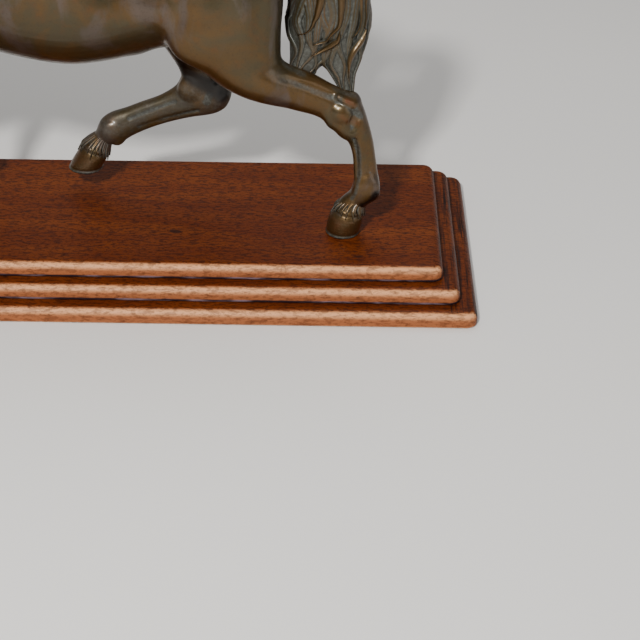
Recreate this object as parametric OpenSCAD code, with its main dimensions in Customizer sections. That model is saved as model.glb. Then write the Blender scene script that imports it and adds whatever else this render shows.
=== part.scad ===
// Bronze horse statue, trotting to the left (-X), pinned together from hollow and solid castings and
// bolted through two hooves to a stepped wooden base. Millimetres. +Z is up. The origin is the middle
// of the underside of the base; the near side of the horse is -Y.

/* [Base] */
// length of the bottom board, along X
base_length = 406; // [380:2:430]
// width of the bottom board, along Y
base_width = 152.4; // [140:0.2:165]
// thickness of each of the three boards
board_t = 8; // [6:0.5:12]
// how far each board stands in from the one below it
step_inset = 8.5; // [6:0.5:12]
// radius of the round along each board's upper edge
edge_round = 4.5; // [2:0.5:5.5]
// radius of the small round along each board's lower edge
lower_round = 1.2; // [0.5:0.1:2]
// radius of each board's corners, seen from above
corner_r = 6; // [5.6:0.2:12]

/* [Castings] */
// wall of the hollow body and neck castings
wall = 5; // [4:0.5:7]
// distance from the middle plane to the hind legs
hind_track = 21.6; // [20:0.2:24]
// distance from the middle plane to the forelegs
fore_track = 18; // [16:0.5:20]
// length of each ear
ear_length = 17; // [13:1:20]
// depth of the grooves between the locks of the tail and the mane, as a share of the lock's radius
lock_relief = 0.1; // [0.05:0.01:0.16]

/* [Joints] */
// radius of the round tenon at the top of each leg
tenon_r = 4.2; // [3.6:0.1:4.6]
// length of the leg tenons
tenon_l = 13; // [9:1:15]
// radius of the bronze pins that lock the tenons
pin_r = 1.3; // [1:0.1:1.6]
// clearance round tenons, pins and collars
fit_gap = 0.1; // [0.05:0.05:0.3]

/* [Fixings] */
// radius of the threaded studs under the two standing hooves
stud_r = 2; // [1.5:0.25:2.5]
// how far a stud is screwed into its hoof
stud_in_hoof = 8; // [6:1:10]
// radius of the counterbore for a nut
counterbore_r = 7.5; // [7:0.5:9]
// depth of the counterbore for a nut
counterbore_h = 9; // [8:0.5:12]
// radius of the wood screws that hold the boards together
screw_r = 1.6; // [1.2:0.1:2]
// length of the wood screws
screw_l = 21; // [18:1:23]

/* [Hidden] */
$fn = 48;

bronze = [0.42, 0.33, 0.17];
wood = [0.47, 0.23, 0.13];
steel = [0.62, 0.62, 0.64];
top_z = 3 * board_t;
limb_n = 16;
barrel_n = 28;
tail_n = 36;

// A station is a ring of the skin: [front x, front z, rear x, rear z, half width, middle y], with z
// measured from the top of the base. The first edge is a limb's front or lower edge, or the back line.

barrel = [
    [104.6, 156, 104.9, 126, 10, 0],
    [101, 163, 102.5, 110, 23, 0],
    [93, 170, 92, 97, 31, 0],
    [77, 175.5, 75, 91, 35, 0],
    [60, 176, 58, 88.6, 36, 0],
    [42, 173.5, 42, 88.6, 35.5, 0],
    [25, 172, 25, 85.4, 36.5, 0],
    [5, 172.5, 3, 84.3, 38, 0],
    [-15, 176, -18, 86.6, 38, 0],
    [-34, 185, -40, 91.5, 36, 0],
    [-49, 195, -61, 97.5, 33, 0],
    [-61, 201.5, -82, 106, 30.5, 0],
    [-70, 205, -100, 120, 28, 0],
    [-77, 208, -111, 139, 25, 0]];

neck = [
    [-77, 208, -111, 139, 25, 0],
    [-88, 222, -117, 158, 20.5, 0],
    [-99, 237, -121, 177, 17.5, 0],
    [-110, 250, -124, 195, 15, 0],
    [-121, 259.5, -126, 211, 13, 0],
    [-132, 263.5, -128, 225, 12, 0]];

head = [
    [-132, 263.5, -128, 225, 12, 0],
    [-143, 264, -130.5, 219, 13, 0],
    [-153, 257, -136, 211, 14.2, 0],
    [-161.5, 244.5, -145, 205.5, 12.8, 0],
    [-168.5, 231.5, -155, 201, 10.4, 0],
    [-175, 219, -163, 195.5, 8.6, 0],
    [-181, 207, -169, 189, 8.4, 0],
    [-184.5, 198.5, -173, 184.5, 8.4, 0],
    [-185.5, 191, -177, 182.5, 6.8, 0],
    [-184, 186.5, -180.5, 183, 3, 0]];

near_hind = [
    [50, 152, 98, 160, 8, -hind_track + 8],
    [45, 128, 104.6, 132, 14.5, -hind_track + 1.5],
    [47, 106, 104.9, 113, 15.5, -hind_track - 0.8],
    [54.5, 90.6, 104.8, 101, 14.2, -hind_track - 1],
    [68, 83, 105.2, 94.2, 12.8, -hind_track - 1],
    [84, 75.4, 109.5, 90.3, 11, -hind_track - 0.6],
    [98, 70.6, 115.5, 87.8, 9.4, -hind_track],
    [109.5, 67, 121.5, 85.2, 8, -hind_track],
    [119.5, 65.7, 130, 81, 7, -hind_track],
    [126, 62.4, 138, 78, 6.5, -hind_track],
    [131, 57.6, 143.4, 74.4, 6.2, -hind_track],
    [135.5, 54, 146, 65.5, 5.9, -hind_track],
    [138.8, 48.6, 149, 52.5, 5, -hind_track],
    [140.4, 41.5, 150.4, 43.5, 4.6, -hind_track],
    [140.8, 34, 151.8, 36, 4.8, -hind_track],
    [141.4, 27.6, 153.4, 28.4, 5.8, -hind_track],
    [140.6, 22, 153, 21.6, 5.5, -hind_track],
    [138.3, 17.6, 147.6, 15.8, 4.8, -hind_track],
    [134.2, 15, 145.8, 13.2, 6.4, -hind_track],
    [131, 8.5, 146.6, 7, 7.7, -hind_track],
    [127.4, 0, 144.8, 0, 8.6, -hind_track]];

far_hind = [
    [46, 152, 98, 160, 8, hind_track - 8],
    [36, 126, 103.5, 130, 14.5, hind_track - 1.5],
    [35, 105, 97, 110, 15, hind_track + 0.6],
    [39, 90, 88, 94, 12.5, hind_track + 0.6],
    [44.5, 81, 80, 79.5, 9.8, hind_track],
    [49, 73.6, 75.4, 69, 7.8, hind_track],
    [51.8, 66.4, 74.6, 59.6, 6.6, hind_track],
    [50.6, 61.2, 73, 50.6, 6.2, hind_track],
    [46.5, 57, 67, 46.2, 5.8, hind_track],
    [40, 52.7, 56.5, 44.2, 5.3, hind_track],
    [31, 49.2, 44, 41, 4.9, hind_track],
    [22, 45.7, 32.5, 36.7, 4.8, hind_track],
    [14.5, 43.4, 24, 32.4, 5.3, hind_track],
    [9, 39.2, 18.6, 28.8, 5.8, hind_track],
    [5.2, 33.6, 13, 27, 5.1, hind_track],
    [1, 31.4, 12.4, 24.6, 6.3, hind_track],
    [-4, 24, 11, 18.6, 7.6, hind_track],
    [-10, 13, 8.6, 13, 8.5, hind_track]];

near_fore = [
    [-108, 168, -74, 172, 6, -fore_track + 6],
    [-113, 147, -66, 132, 11, -fore_track - 1],
    [-110, 131, -70, 112, 12, -fore_track - 2],
    [-109.5, 122.5, -84, 101.5, 10.2, -fore_track - 2],
    [-113, 117, -96, 97.5, 8.2, -fore_track - 1.5],
    [-119.5, 112.4, -106, 95, 6.9, -fore_track - 1],
    [-127, 106, -109.8, 93.6, 6.8, -fore_track - 0.5],
    [-127.6, 96.5, -111.2, 91.8, 6.4, -fore_track],
    [-123.4, 87.5, -112.6, 85.8, 5, -fore_track],
    [-119.4, 77.5, -110, 75, 4.4, -fore_track],
    [-115, 68.6, -105.6, 65.8, 4.7, -fore_track],
    [-111.5, 62, -100, 60.4, 5.6, -fore_track],
    [-108.6, 56, -98, 57.4, 5.1, -fore_track],
    [-105.6, 51.2, -95.6, 53.6, 4.7, -fore_track],
    [-104.2, 46.2, -92.4, 51.4, 6.2, -fore_track],
    [-100.6, 40, -87.4, 49.4, 7.5, -fore_track],
    [-94.5, 31.6, -83, 46.6, 8.4, -fore_track]];

far_fore = [
    [-108, 166, -72, 170, 6, fore_track - 6],
    [-110, 143, -63, 136, 11, fore_track + 1],
    [-96, 122, -56, 118, 12, fore_track + 1.5],
    [-84, 107, -55.5, 106.5, 10, fore_track + 1.5],
    [-77.5, 95, -56.5, 95, 8.4, fore_track + 1],
    [-72.6, 82, -57, 82, 6.8, fore_track + 0.5],
    [-69.8, 72.5, -56, 72.5, 6.4, fore_track],
    [-69.2, 65, -55.4, 65, 6.6, fore_track],
    [-67, 57, -56, 57.4, 5.6, fore_track],
    [-64.8, 47, -55.2, 47, 4.4, fore_track],
    [-63.8, 36, -54, 35.6, 4.6, fore_track],
    [-63.8, 28.4, -52.6, 27, 5.7, fore_track],
    [-65, 22.6, -53.4, 20, 5.2, fore_track],
    [-67.4, 18, -57.4, 15, 4.8, fore_track],
    [-70.6, 15, -58, 12.2, 6.4, fore_track],
    [-73.4, 8, -57.4, 6.4, 7.7, fore_track],
    [-76, 0, -58, 0, 8.6, fore_track]];

// The tail: inner edge first, then the outer edge.
tail = [
    [94, 149, 94, 164, 5.5, 0],
    [106.5, 150.5, 105.5, 166, 6.2, 0],
    [113, 150, 114.5, 168, 8, 0],
    [118, 146.5, 126, 166, 9.6, -0.6],
    [119, 141, 136, 159, 11.2, -1.6],
    [116, 133, 143, 148, 12.6, -2.8],
    [111, 122.5, 147.4, 134, 13.4, -4.2],
    [107.6, 111, 148.6, 119, 13.4, -5.6],
    [107.8, 102, 148, 106.5, 12.4, -6.6]];
inner_lock = [
    [109, 108, 134, 111, 10.4, -6],
    [108.2, 98, 131, 101, 10.2, -7.6],
    [109.4, 92.8, 124.5, 94, 7.4, -10.4],
    [112, 91.2, 120.5, 90.4, 4.6, -12.6],
    [114.6, 90.4, 119, 89.2, 2.4, -14]];
outer_lock = [
    [119, 111, 147, 113, 10.6, -6],
    [120.5, 100, 147, 101, 10.2, -8],
    [128.4, 90.6, 144, 91, 8, -11.6],
    [133, 85.4, 142.6, 86, 5.6, -14.4],
    [135.6, 82.6, 141.8, 83, 3.6, -16]];

// The mane stands on the crest of the neck: outer edge first, then an edge buried in the neck.
mane = [
    [-72, 214, -88, 190, 4, -1],
    [-82, 226, -98, 203, 7, -2.5],
    [-92.5, 241, -107, 218, 8.6, -3.5],
    [-103.5, 255, -114, 231, 8.8, -3.6],
    [-115.5, 265.5, -121, 242, 8, -3],
    [-131, 270.5, -129, 247, 6.5, -2]];

near_hind_cut = 6;
far_hind_cut = 5;
near_fore_cut = 4;
far_fore_cut = 4;
neck_collar = 9;

function mix(a, b, t) = a * (1 - t) + b * t;
function part_of(list, a, b) = [for (i = [a : b]) list[i]];
function centre(s) = [(s[0] + s[2]) / 2, s[5], (s[1] + s[3]) / 2];
function span(s) = [s[2] - s[0], 0, s[3] - s[1]];

// Moves both edges and the sides of a station in by d.
function inset(s, d) =
    let (h = norm(span(s)) / 2, u = span(s) / (2 * h))
    [s[0] + u[0] * d, s[1] + u[2] * d, s[2] - u[0] * d, s[3] - u[2] * d, s[4] - d, s[5]];

// A smooth run through the stations, with one more ring between each two.
function between(a, b, c, d) = (b + c) * 9 / 16 - (a + d) / 16;
function smooth(st) =
    let (m = len(st) - 1)
    [for (i = [0 : 2 * m])
        i % 2 == 0 ? st[i / 2]
        : let (k = (i - 1) / 2)
          between(st[max(k - 1, 0)], st[k], st[k + 1], st[min(k + 2, m)])];

function power(v, p) = sign(v) * pow(abs(v), p);

// Points of one ring; square > 1 makes it boxier, grooves and twist carve locks into it.
function ring(s, n, square, grooves, twist) =
    let (c = centre(s), h = span(s) / 2)
    [for (i = [0 : n - 1])
        let (a = 360 * i / n,
             r = 1 - (grooves > 0 ? lock_relief * (0.5 - 0.5 * cos(grooves * a + twist)) : 0),
             ca = r * power(cos(a), 1 / square),
             sa = r * power(sin(a), 1 / square))
        [c[0] - h[0] * ca, c[1] + s[4] * sa, c[2] - h[2] * ca]];

module loft(st, n = limb_n, square = 1.08, grooves = 0, twist = 0) {
    m = len(st);
    rings = [for (k = [0 : m - 1]) ring(st[k], n, square, grooves, twist * k)];
    caps = [[for (i = [0 : n - 1]) i], [for (i = [0 : n - 1]) m * n - 1 - i]];
    skin = [for (k = [0 : m - 2]) for (i = [0 : n - 1])
        let (a = k * n + i, b = k * n + (i + 1) % n)
        for (f = [[a, a + n, b + n], [a, b + n, b]]) f];
    points = [for (r = rings) for (q = r) q];
    turn = runs(st) < 0;
    faces = [for (f = concat(caps, skin)) turn ? [for (i = [len(f) - 1 : -1 : 0]) f[i]] : f];
    polyhedron(points, faces, convexity = 8);
}

// Says which way round the rings run along their path, so that the faces point outwards.
function runs(st) =
    let (u = centre(st[1]) - centre(st[0]), h = span(st[0]))
    u[0] * h[2] - u[2] * h[0];

// Moves a ring along its own normal; a positive d is towards the body.
function shift(s, d) =
    let (h = span(s), l = norm(h), dx = -h[2] / l * d, dz = h[0] / l * d)
    [s[0] + dx, s[1] + dz, s[2] + dx, s[3] + dz, s[4], s[5]];

// Puts children on the centre of a ring, with Z towards the body and Y across it.
module at_ring(s) {
    h = span(s);
    translate(centre(s)) rotate([0, -atan2(h[2], h[0]), 0]) children();
}

// The skins cross one another many times, so they are joined in one piece; zeros keep every size.
module one_mesh() {
    resize([0, 0, 0]) children();
}

// ---- joints of the castings ----

module tenon(s) {
    at_ring(s) translate([0, 0, -1]) cylinder(r = tenon_r, h = tenon_l + 1);
}

module tenon_socket(s) {
    at_ring(s) translate([0, 0, -1]) cylinder(r = tenon_r + fit_gap, h = tenon_l + 1.5);
}

// A cross pin sits half way along its tenon and goes in from the side that faces the other leg.
pin_l = 12.6;

module tenon_pin(s) {
    at_ring(s) translate([0, 0, tenon_l / 2]) rotate([90, 0, 0])
        cylinder(r = pin_r, h = pin_l, center = true);
}

module tenon_pin_hole(s, side) {
    at_ring(s) translate([0, -side * (pin_l / 2 + 0.2), tenon_l / 2])
        rotate([-90 * side, 0, 0]) cylinder(r = pin_r + fit_gap / 2, h = 34);
}

near_hind_joint = near_hind[near_hind_cut];
far_hind_joint = far_hind[far_hind_cut];
near_fore_joint = near_fore[near_fore_cut];
far_fore_joint = far_fore[far_fore_cut];
tail_joint = tail[1];
head_joint = head[0];
neck_joint = neck[0];

module each_tenon_socket() {
    for (s = [near_hind_joint, far_hind_joint, near_fore_joint, far_fore_joint, tail_joint])
        tenon_socket(s);
}

module each_pin_hole() {
    for (s = [near_hind_joint, near_fore_joint])
        tenon_pin_hole(s, 1);
    for (s = [far_hind_joint, far_fore_joint, tail_joint])
        tenon_pin_hole(s, -1);
}

// The neck's collar slides into the open front of the hollow body and is pinned from both sides.
collar_t = 3;
barrel_skin = smooth(barrel);
collar_end = barrel_skin[len(barrel_skin) - 2];
collar_pin_l = wall + collar_t - 0.6;
collar_mid = mix(collar_end, neck_joint, 0.5);

module collar_pin_at(side, r, h, proud) {
    c = centre(collar_mid);
    translate([c[0], side * (collar_mid[4] - 0.5 + proud), c[2]]) rotate([90 * side, 0, 0])
        cylinder(r = r, h = h);
}

module each_collar_pin_hole() {
    for (side = [-1, 1])
        collar_pin_at(side, pin_r + fit_gap / 2, 12, 2);
}

// ---- wooden base ----

// One board's edge, from the board's inside out to its rounded face.
module edge_profile(w) {
    square([w - edge_round, board_t]);
    translate([0, lower_round]) square([w, board_t - edge_round - lower_round]);
    square([w - lower_round, lower_round]);
    translate([w - edge_round, board_t - edge_round]) quarter(edge_round);
    translate([w - lower_round, lower_round]) mirror([0, 1]) quarter(lower_round);
}

module quarter(r) intersection() {
    circle(r);
    square(r);
}

module two_edges(w) {
    edge_profile(w);
    mirror([1, 0]) edge_profile(w);
}

module board(steps) {
    l = base_length / 2 - steps * step_inset;
    w = base_width / 2 - steps * step_inset;
    translate([0, 0, steps * board_t]) {
        rotate([90, 0, 90]) linear_extrude(2 * (l - corner_r), center = true) two_edges(w);
        rotate([90, 0, 0]) linear_extrude(2 * (w - corner_r), center = true) two_edges(l);
        for (x = [-1, 1], y = [-1, 1])
            translate([x * (l - corner_r), y * (w - corner_r), 0])
                rotate_extrude() edge_profile(corner_r);
    }
}

screw_spots = [for (x = [-150, 150], y = [-42, 42]) [x, y]];
stud_spots = [
    [centre(near_hind[len(near_hind) - 1])[0], -hind_track],
    [centre(far_fore[len(far_fore) - 1])[0], fore_track]];
screw_z = 0.6;
head_r = 2.1 * screw_r;
head_h = 2;
nut_h = 3.2;
washer_h = 0.8;
washer_z = counterbore_h - washer_h;

module stud_holes() {
    for (p = stud_spots)
        translate([p[0], p[1], -1]) cylinder(r = stud_r + 0.3, h = top_z + 2);
}

module screw_holes(from, r, to) {
    for (p = screw_spots)
        translate([p[0], p[1], from]) cylinder(r = r, h = to - from);
}

module base_bottom_board() color(wood) difference() {
    board(0);
    stud_holes();
    for (p = stud_spots)
        translate([p[0], p[1], -1]) cylinder(r = counterbore_r, h = counterbore_h + 1);
    screw_holes(-1, screw_r + 0.2, board_t + 1);
    for (p = screw_spots)
        translate([p[0], p[1], -0.1])
            cylinder(r1 = head_r + 0.5, r2 = screw_r + 0.2, h = screw_z + head_h + 0.2);
}

module base_middle_board() color(wood) difference() {
    board(1);
    stud_holes();
    for (p = stud_spots)
        translate([p[0], p[1], board_t - 1]) cylinder(r = counterbore_r, h = counterbore_h - board_t + 1);
    screw_holes(board_t - 1, screw_r + 0.2, 2 * board_t + 1);
}

module base_top_board() color(wood) difference() {
    board(2);
    stud_holes();
    screw_holes(2 * board_t - 1, screw_r + 0.05, screw_z + screw_l + 0.5);
}

module board_screws() color(steel)
    for (p = screw_spots)
        translate([p[0], p[1], screw_z]) difference() {
            union() {
                cylinder(r = screw_r, h = screw_l);
                cylinder(r1 = head_r, r2 = screw_r, h = head_h);
            }
            translate([-head_r, -0.4, -1]) cube([2 * head_r, 0.8, 1.8]);
        }

// ---- castings ----

module root(limb, cut) {
    loft(part_of(smooth(limb), 0, 2 * cut));
}

module limb_casting(limb, cut) {
    loft(part_of(smooth(limb), 2 * cut, 2 * len(limb) - 2));
    tenon(limb[cut]);
}

module stud_hole_in_hoof(p) {
    translate([p[0], p[1], -1]) cylinder(r = stud_r + fit_gap / 2, h = stud_in_hoof + 1.6);
}

// The closed skin of the body, with its cavity open at the neck.
module body_shell() difference() {
    union() {
        loft(barrel_skin, barrel_n);
        root(near_hind, near_hind_cut);
        root(far_hind, far_hind_cut);
        root(near_fore, near_fore_cut);
        root(far_fore, far_fore_cut);
        loft(part_of(smooth(tail), 0, 2));
    }
    cavity = concat(part_of(barrel, 2, len(barrel) - 2), [collar_end, neck_joint, shift(neck_joint, -2)]);
    loft([for (s = cavity) inset(s, wall)], barrel_n);
}

module body_casting() color(bronze) translate([0, 0, top_z]) one_mesh() difference() {
    body_shell();
    each_tenon_socket();
    each_pin_hole();
    each_collar_pin_hole();
}

// The neck with its collar and mane, hollow from the body joint up.
module neck_shell() one_mesh() difference() {
    union() {
        loft(smooth(neck), barrel_n);
        loft([for (s = [collar_end, neck_joint]) inset(s, wall + fit_gap)], barrel_n);
        loft(smooth(mane), tail_n, 1, 7, 24);
    }
    loft([for (s = [shift(collar_end, 2), collar_end, neck_joint, neck[1], neck[2], neck[3]])
        inset(s, wall + fit_gap + collar_t)], barrel_n);
}

module neck_casting() color(bronze) translate([0, 0, top_z]) difference() {
    neck_shell();
    tenon_socket(head_joint);
    tenon_pin_hole(head_joint, 1);
    each_collar_pin_hole();
}

module ear(side) {
    base = [-132, 258, -139, 259, 3.4, side * 6.5];
    tip = [-137.4, 260 + ear_length, -138.6, 260 + ear_length, 0.8, side * 8.5];
    middle = mix(base, tip, 0.45);
    loft([base, inset(middle, -1), inset(mix(base, tip, 0.8), -0.4), tip], 12, 1);
}

module head_casting() color(bronze) translate([0, 0, top_z]) difference() {
    union() {
        one_mesh() union() {
            loft(smooth(head), 24);
            for (side = [-1, 1])
                ear(side);
        }
        tenon(head_joint);
    }
    tenon_pin_hole(head_joint, 1);
}

module tail_casting() color(bronze) translate([0, 0, top_z]) difference() {
    union() {
        one_mesh() union() {
            loft(part_of(smooth(tail), 2, 2 * len(tail) - 2), tail_n, 1, 9, 7);
            loft(smooth(inner_lock), tail_n, 1, 9, 7);
            loft(smooth(outer_lock), tail_n, 1, 9, 7);
        }
        tenon(tail_joint);
    }
    tenon_pin_hole(tail_joint, -1);
}

module near_hind_leg() color(bronze) translate([0, 0, top_z]) difference() {
    limb_casting(near_hind, near_hind_cut);
    tenon_pin_hole(near_hind_joint, 1);
    stud_hole_in_hoof(stud_spots[0]);
}

module far_hind_leg() color(bronze) translate([0, 0, top_z]) difference() {
    limb_casting(far_hind, far_hind_cut);
    tenon_pin_hole(far_hind_joint, -1);
}

module near_fore_leg() color(bronze) translate([0, 0, top_z]) difference() {
    limb_casting(near_fore, near_fore_cut);
    tenon_pin_hole(near_fore_joint, 1);
}

module far_fore_leg() color(bronze) translate([0, 0, top_z]) difference() {
    limb_casting(far_fore, far_fore_cut);
    tenon_pin_hole(far_fore_joint, -1);
    stud_hole_in_hoof(stud_spots[1]);
}

// ---- pins and fixings ----

module tenon_pins() color(bronze) translate([0, 0, top_z])
    for (s = [near_hind_joint, far_hind_joint, near_fore_joint, far_fore_joint, tail_joint, head_joint])
        tenon_pin(s);

module collar_pins() color(bronze) translate([0, 0, top_z])
    for (side = [-1, 1])
        collar_pin_at(side, pin_r, collar_pin_l, 0);

module hoof_studs() color(steel)
    for (p = stud_spots)
        translate([p[0], p[1], washer_z - nut_h - 1.2])
            cylinder(r = stud_r, h = top_z + stud_in_hoof - washer_z + nut_h + 1.2);

module stud_washers() color(steel)
    for (p = stud_spots)
        translate([p[0], p[1], washer_z]) difference() {
            cylinder(r = 3 * stud_r - 0.5, h = washer_h);
            translate([0, 0, -1]) cylinder(r = stud_r + 0.2, h = washer_h + 2);
        }

module stud_nuts() color(steel)
    for (p = stud_spots)
        translate([p[0], p[1], washer_z - nut_h]) difference() {
            cylinder(r = 2 * stud_r, h = nut_h, $fn = 6);
            translate([0, 0, -1]) cylinder(r = stud_r + 0.05, h = nut_h + 2);
        }

base_bottom_board();
base_middle_board();
base_top_board();
board_screws();
body_casting();
neck_casting();
head_casting();
tail_casting();
near_fore_leg();
far_fore_leg();
near_hind_leg();
far_hind_leg();
tenon_pins();
collar_pins();
hoof_studs();
stud_washers();
stud_nuts();
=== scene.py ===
"""Looks for the bronze horse statue: sculpted castings, hair locks and a mahogany base on the CAD frame.

Lengths in the sculpting half of the script are millimetres, with x and y as in the frame and z measured from
the top of the base. place() turns them into the frame's metres.
"""
import math
from concurrent.futures import ThreadPoolExecutor

import bmesh
import bpy
import numpy as np
import openvdb as vdb
from mathutils import Matrix, Vector


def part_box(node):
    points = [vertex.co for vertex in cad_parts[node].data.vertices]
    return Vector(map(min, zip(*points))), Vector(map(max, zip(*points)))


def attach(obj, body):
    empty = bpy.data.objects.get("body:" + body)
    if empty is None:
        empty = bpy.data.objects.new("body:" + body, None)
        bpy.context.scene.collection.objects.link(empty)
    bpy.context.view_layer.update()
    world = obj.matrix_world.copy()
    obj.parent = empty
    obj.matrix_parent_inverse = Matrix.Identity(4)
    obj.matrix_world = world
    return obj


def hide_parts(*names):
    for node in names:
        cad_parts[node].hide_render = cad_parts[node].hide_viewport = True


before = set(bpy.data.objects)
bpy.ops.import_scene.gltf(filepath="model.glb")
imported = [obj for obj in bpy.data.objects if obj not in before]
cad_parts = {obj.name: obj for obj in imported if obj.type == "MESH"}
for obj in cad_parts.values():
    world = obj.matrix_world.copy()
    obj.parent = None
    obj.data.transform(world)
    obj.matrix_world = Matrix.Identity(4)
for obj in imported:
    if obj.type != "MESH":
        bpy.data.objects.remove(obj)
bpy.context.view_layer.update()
MM = 0.001
BASE_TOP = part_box("base_top_board")[1].z / MM
NEAR, FAR = -1, 1


def place(points):
    """Millimetres above the base top to metres in the frame."""
    moved = np.asarray(points, float) + np.array([0, 0, BASE_TOP])
    return moved * MM


def unplace(points):
    return np.asarray(points, float) / MM - np.array([0, 0, BASE_TOP])


# ---------------- clay: signed distances that shapes blend into

REACH = 9.0  # lofts know their distance up to this far from their skin


class Clay:
    """A block of signed distances on a grid, in millimetres."""

    def __init__(self, low, high, cell):
        self.cell = cell
        self.start = np.floor(np.array(low) / cell).astype(int)
        self.size = np.ceil(np.array(high) / cell).astype(int) - self.start + 1
        self.d = np.full(self.size, REACH, np.float32)

    def window(self, low, high):
        """The slices that cover a box and the coordinates of their cells, or None if it misses the block."""
        a = np.maximum(np.floor(np.array(low) / self.cell).astype(int) - self.start, 0)
        b = np.minimum(np.ceil(np.array(high) / self.cell).astype(int) - self.start + 1, self.size)
        if np.any(b - a < 2):
            return None
        where = tuple(slice(i, j) for i, j in zip(a, b))
        axes = [(np.arange(i, j) + s) * self.cell for i, j, s in zip(a, b, self.start)]
        return where, np.meshgrid(*[x.astype(np.float32) for x in axes], indexing="ij", sparse=True)

    def apply(self, how, shape, soft):
        """Blends a shape in (how 1) or carves it out (how -1), with a fillet about as wide as soft."""
        low, high = shape.box()
        pad = soft + 2 * self.cell
        found = self.window(np.array(low) - pad, np.array(high) + pad)
        if found is None:
            return
        where, at = found
        new = how * shape.distance(at, self, where)
        old = self.d[where]
        h = np.maximum(soft - np.abs(old - new), 0) / soft
        h[np.abs(new) > 0.999 * REACH] = 0
        if how < 0:
            self.d[where] = np.maximum(old, new) + h * h * soft / 4
        else:
            self.d[where] = np.minimum(old, new) - h * h * soft / 4

    def mesh(self):
        """Vertices in millimetres and quads of the surface where the distance is zero."""
        grid = vdb.FloatGrid(REACH)
        grid.copyFromArray(self.d, tolerance=0.0)
        points, quads = grid.convertToQuads(isovalue=0.0)
        return (points + self.start) * self.cell, quads

    def sample(self, points, values):
        """Values of a grid array at points, by linear interpolation."""
        p = np.clip(points / self.cell - self.start, 0, self.size - 1.001)
        i = p.astype(int)
        f = p - i
        out = np.zeros(len(points))
        for corner in range(8):
            o = np.array([corner & 1, corner >> 1 & 1, corner >> 2 & 1])
            w = np.prod(np.where(o, f, 1 - f), axis=1)
            out += w * values[tuple((i + o).T)]
        return out

    def slope(self, points):
        """The outward direction at points."""
        steps = np.eye(3) * self.cell * 1.5
        rises = [self.sample(points + s, self.d) - self.sample(points - s, self.d) for s in steps]
        g = np.stack(rises, axis=1)
        return g / np.maximum(np.linalg.norm(g, axis=1, keepdims=True), 1e-6)

    def snap(self, points, lift):
        """The points moved to the surface, or lift outside it, and the outward directions there."""
        p = np.array(points, float)
        for _ in range(6):
            p -= (self.sample(p, self.d) - lift)[:, None] * self.slope(p) * 0.8
        return p, self.slope(p)

    def relief(self, points, radius):
        """How much the surface bulges (above 0) or sinks (below 0) within a radius of each point."""
        cells = max(1, round(radius / self.cell))
        blurred = np.clip(self.d, -2 * radius, 2 * radius).astype(np.float64)
        for axis in range(3):
            total = np.cumsum(np.pad(blurred, [(cells + 1, cells) if a == axis else (0, 0) for a in range(3)],
                                     mode="edge"), axis=axis)
            ends = np.take(total, range(2 * cells + 1, total.shape[axis]), axis)
            starts = np.take(total, range(0, total.shape[axis] - 2 * cells - 1), axis)
            blurred = (ends - starts) / (2 * cells + 1)
        return self.sample(points, blurred)


class Rod:
    """A string of round cones through points, each with a radius."""

    def __init__(self, points, radii):
        self.p = np.array(points, float)
        self.r = np.broadcast_to(np.array(radii, float), (len(points),))

    def box(self):
        r = self.r.max()
        return self.p.min(0) - r, self.p.max(0) + r

    def distance(self, at, clay, where):
        best = None
        for a, b, ra, rb in zip(self.p, self.p[1:], self.r, self.r[1:]):
            ab = b - a
            t = sum((x - x0) * u for x, x0, u in zip(at, a, ab)) / max(ab @ ab, 1e-9)
            t = np.clip(t, 0, 1)
            d = np.sqrt(sum((x - x0 - t * u) ** 2 for x, x0, u in zip(at, a, ab))) - (ra + t * (rb - ra))
            best = d if best is None else np.minimum(best, d)
        return best


class Ball:
    """An ellipsoid with radii along x, y and z, turned about the y axis by pitch, in degrees."""

    def __init__(self, centre, radii, pitch=0):
        self.c, self.r = np.array(centre, float), np.array(radii, float)
        self.turn = np.array(Matrix.Rotation(math.radians(pitch), 3, "Y"))

    def box(self):
        reach = np.sqrt(((self.turn * self.r) ** 2).sum(1))
        return self.c - reach, self.c + reach

    def distance(self, at, clay, where):
        rel = [x - c for x, c in zip(at, self.c)]
        local = [sum(rel[j] * self.turn[j, i] for j in range(3)) for i in range(3)]
        k0 = np.sqrt(sum((v / r) ** 2 for v, r in zip(local, self.r)))
        k1 = np.sqrt(sum((v / r**2) ** 2 for v, r in zip(local, self.r))) + 1e-6
        return k0 * (k0 - 1) / k1


def smooth_stations(st):
    """The stations with one more between each two, on a smooth curve."""
    st = np.array(st, float)
    before, after = np.vstack([st[:1], st[:-2]]), np.vstack([st[2:], st[-1:]])
    middle = (st[:-1] + st[1:]) * 9 / 16 - (before + after) / 16
    out = np.empty((2 * len(st) - 1, st.shape[1]))
    out[0::2], out[1::2] = st, middle
    return out


def shrunk(stations, d):
    """The stations with their edges and sides moved in by d."""
    st = np.array(stations, float)
    half = (st[:, 2:4] - st[:, 0:2]) / 2
    u = half / np.linalg.norm(half, axis=1, keepdims=True)
    d = np.minimum(d, 0.6 * np.minimum(np.linalg.norm(half, axis=1), st[:, 4]))[:, None]
    return np.hstack([st[:, 0:2] + u * d, st[:, 2:4] - u * d, st[:, 4:5] - d, st[:, 5:6]])


SQUARENESS = 1.08  # a ring of 1 is an ellipse, and a higher one is squarer


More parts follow.
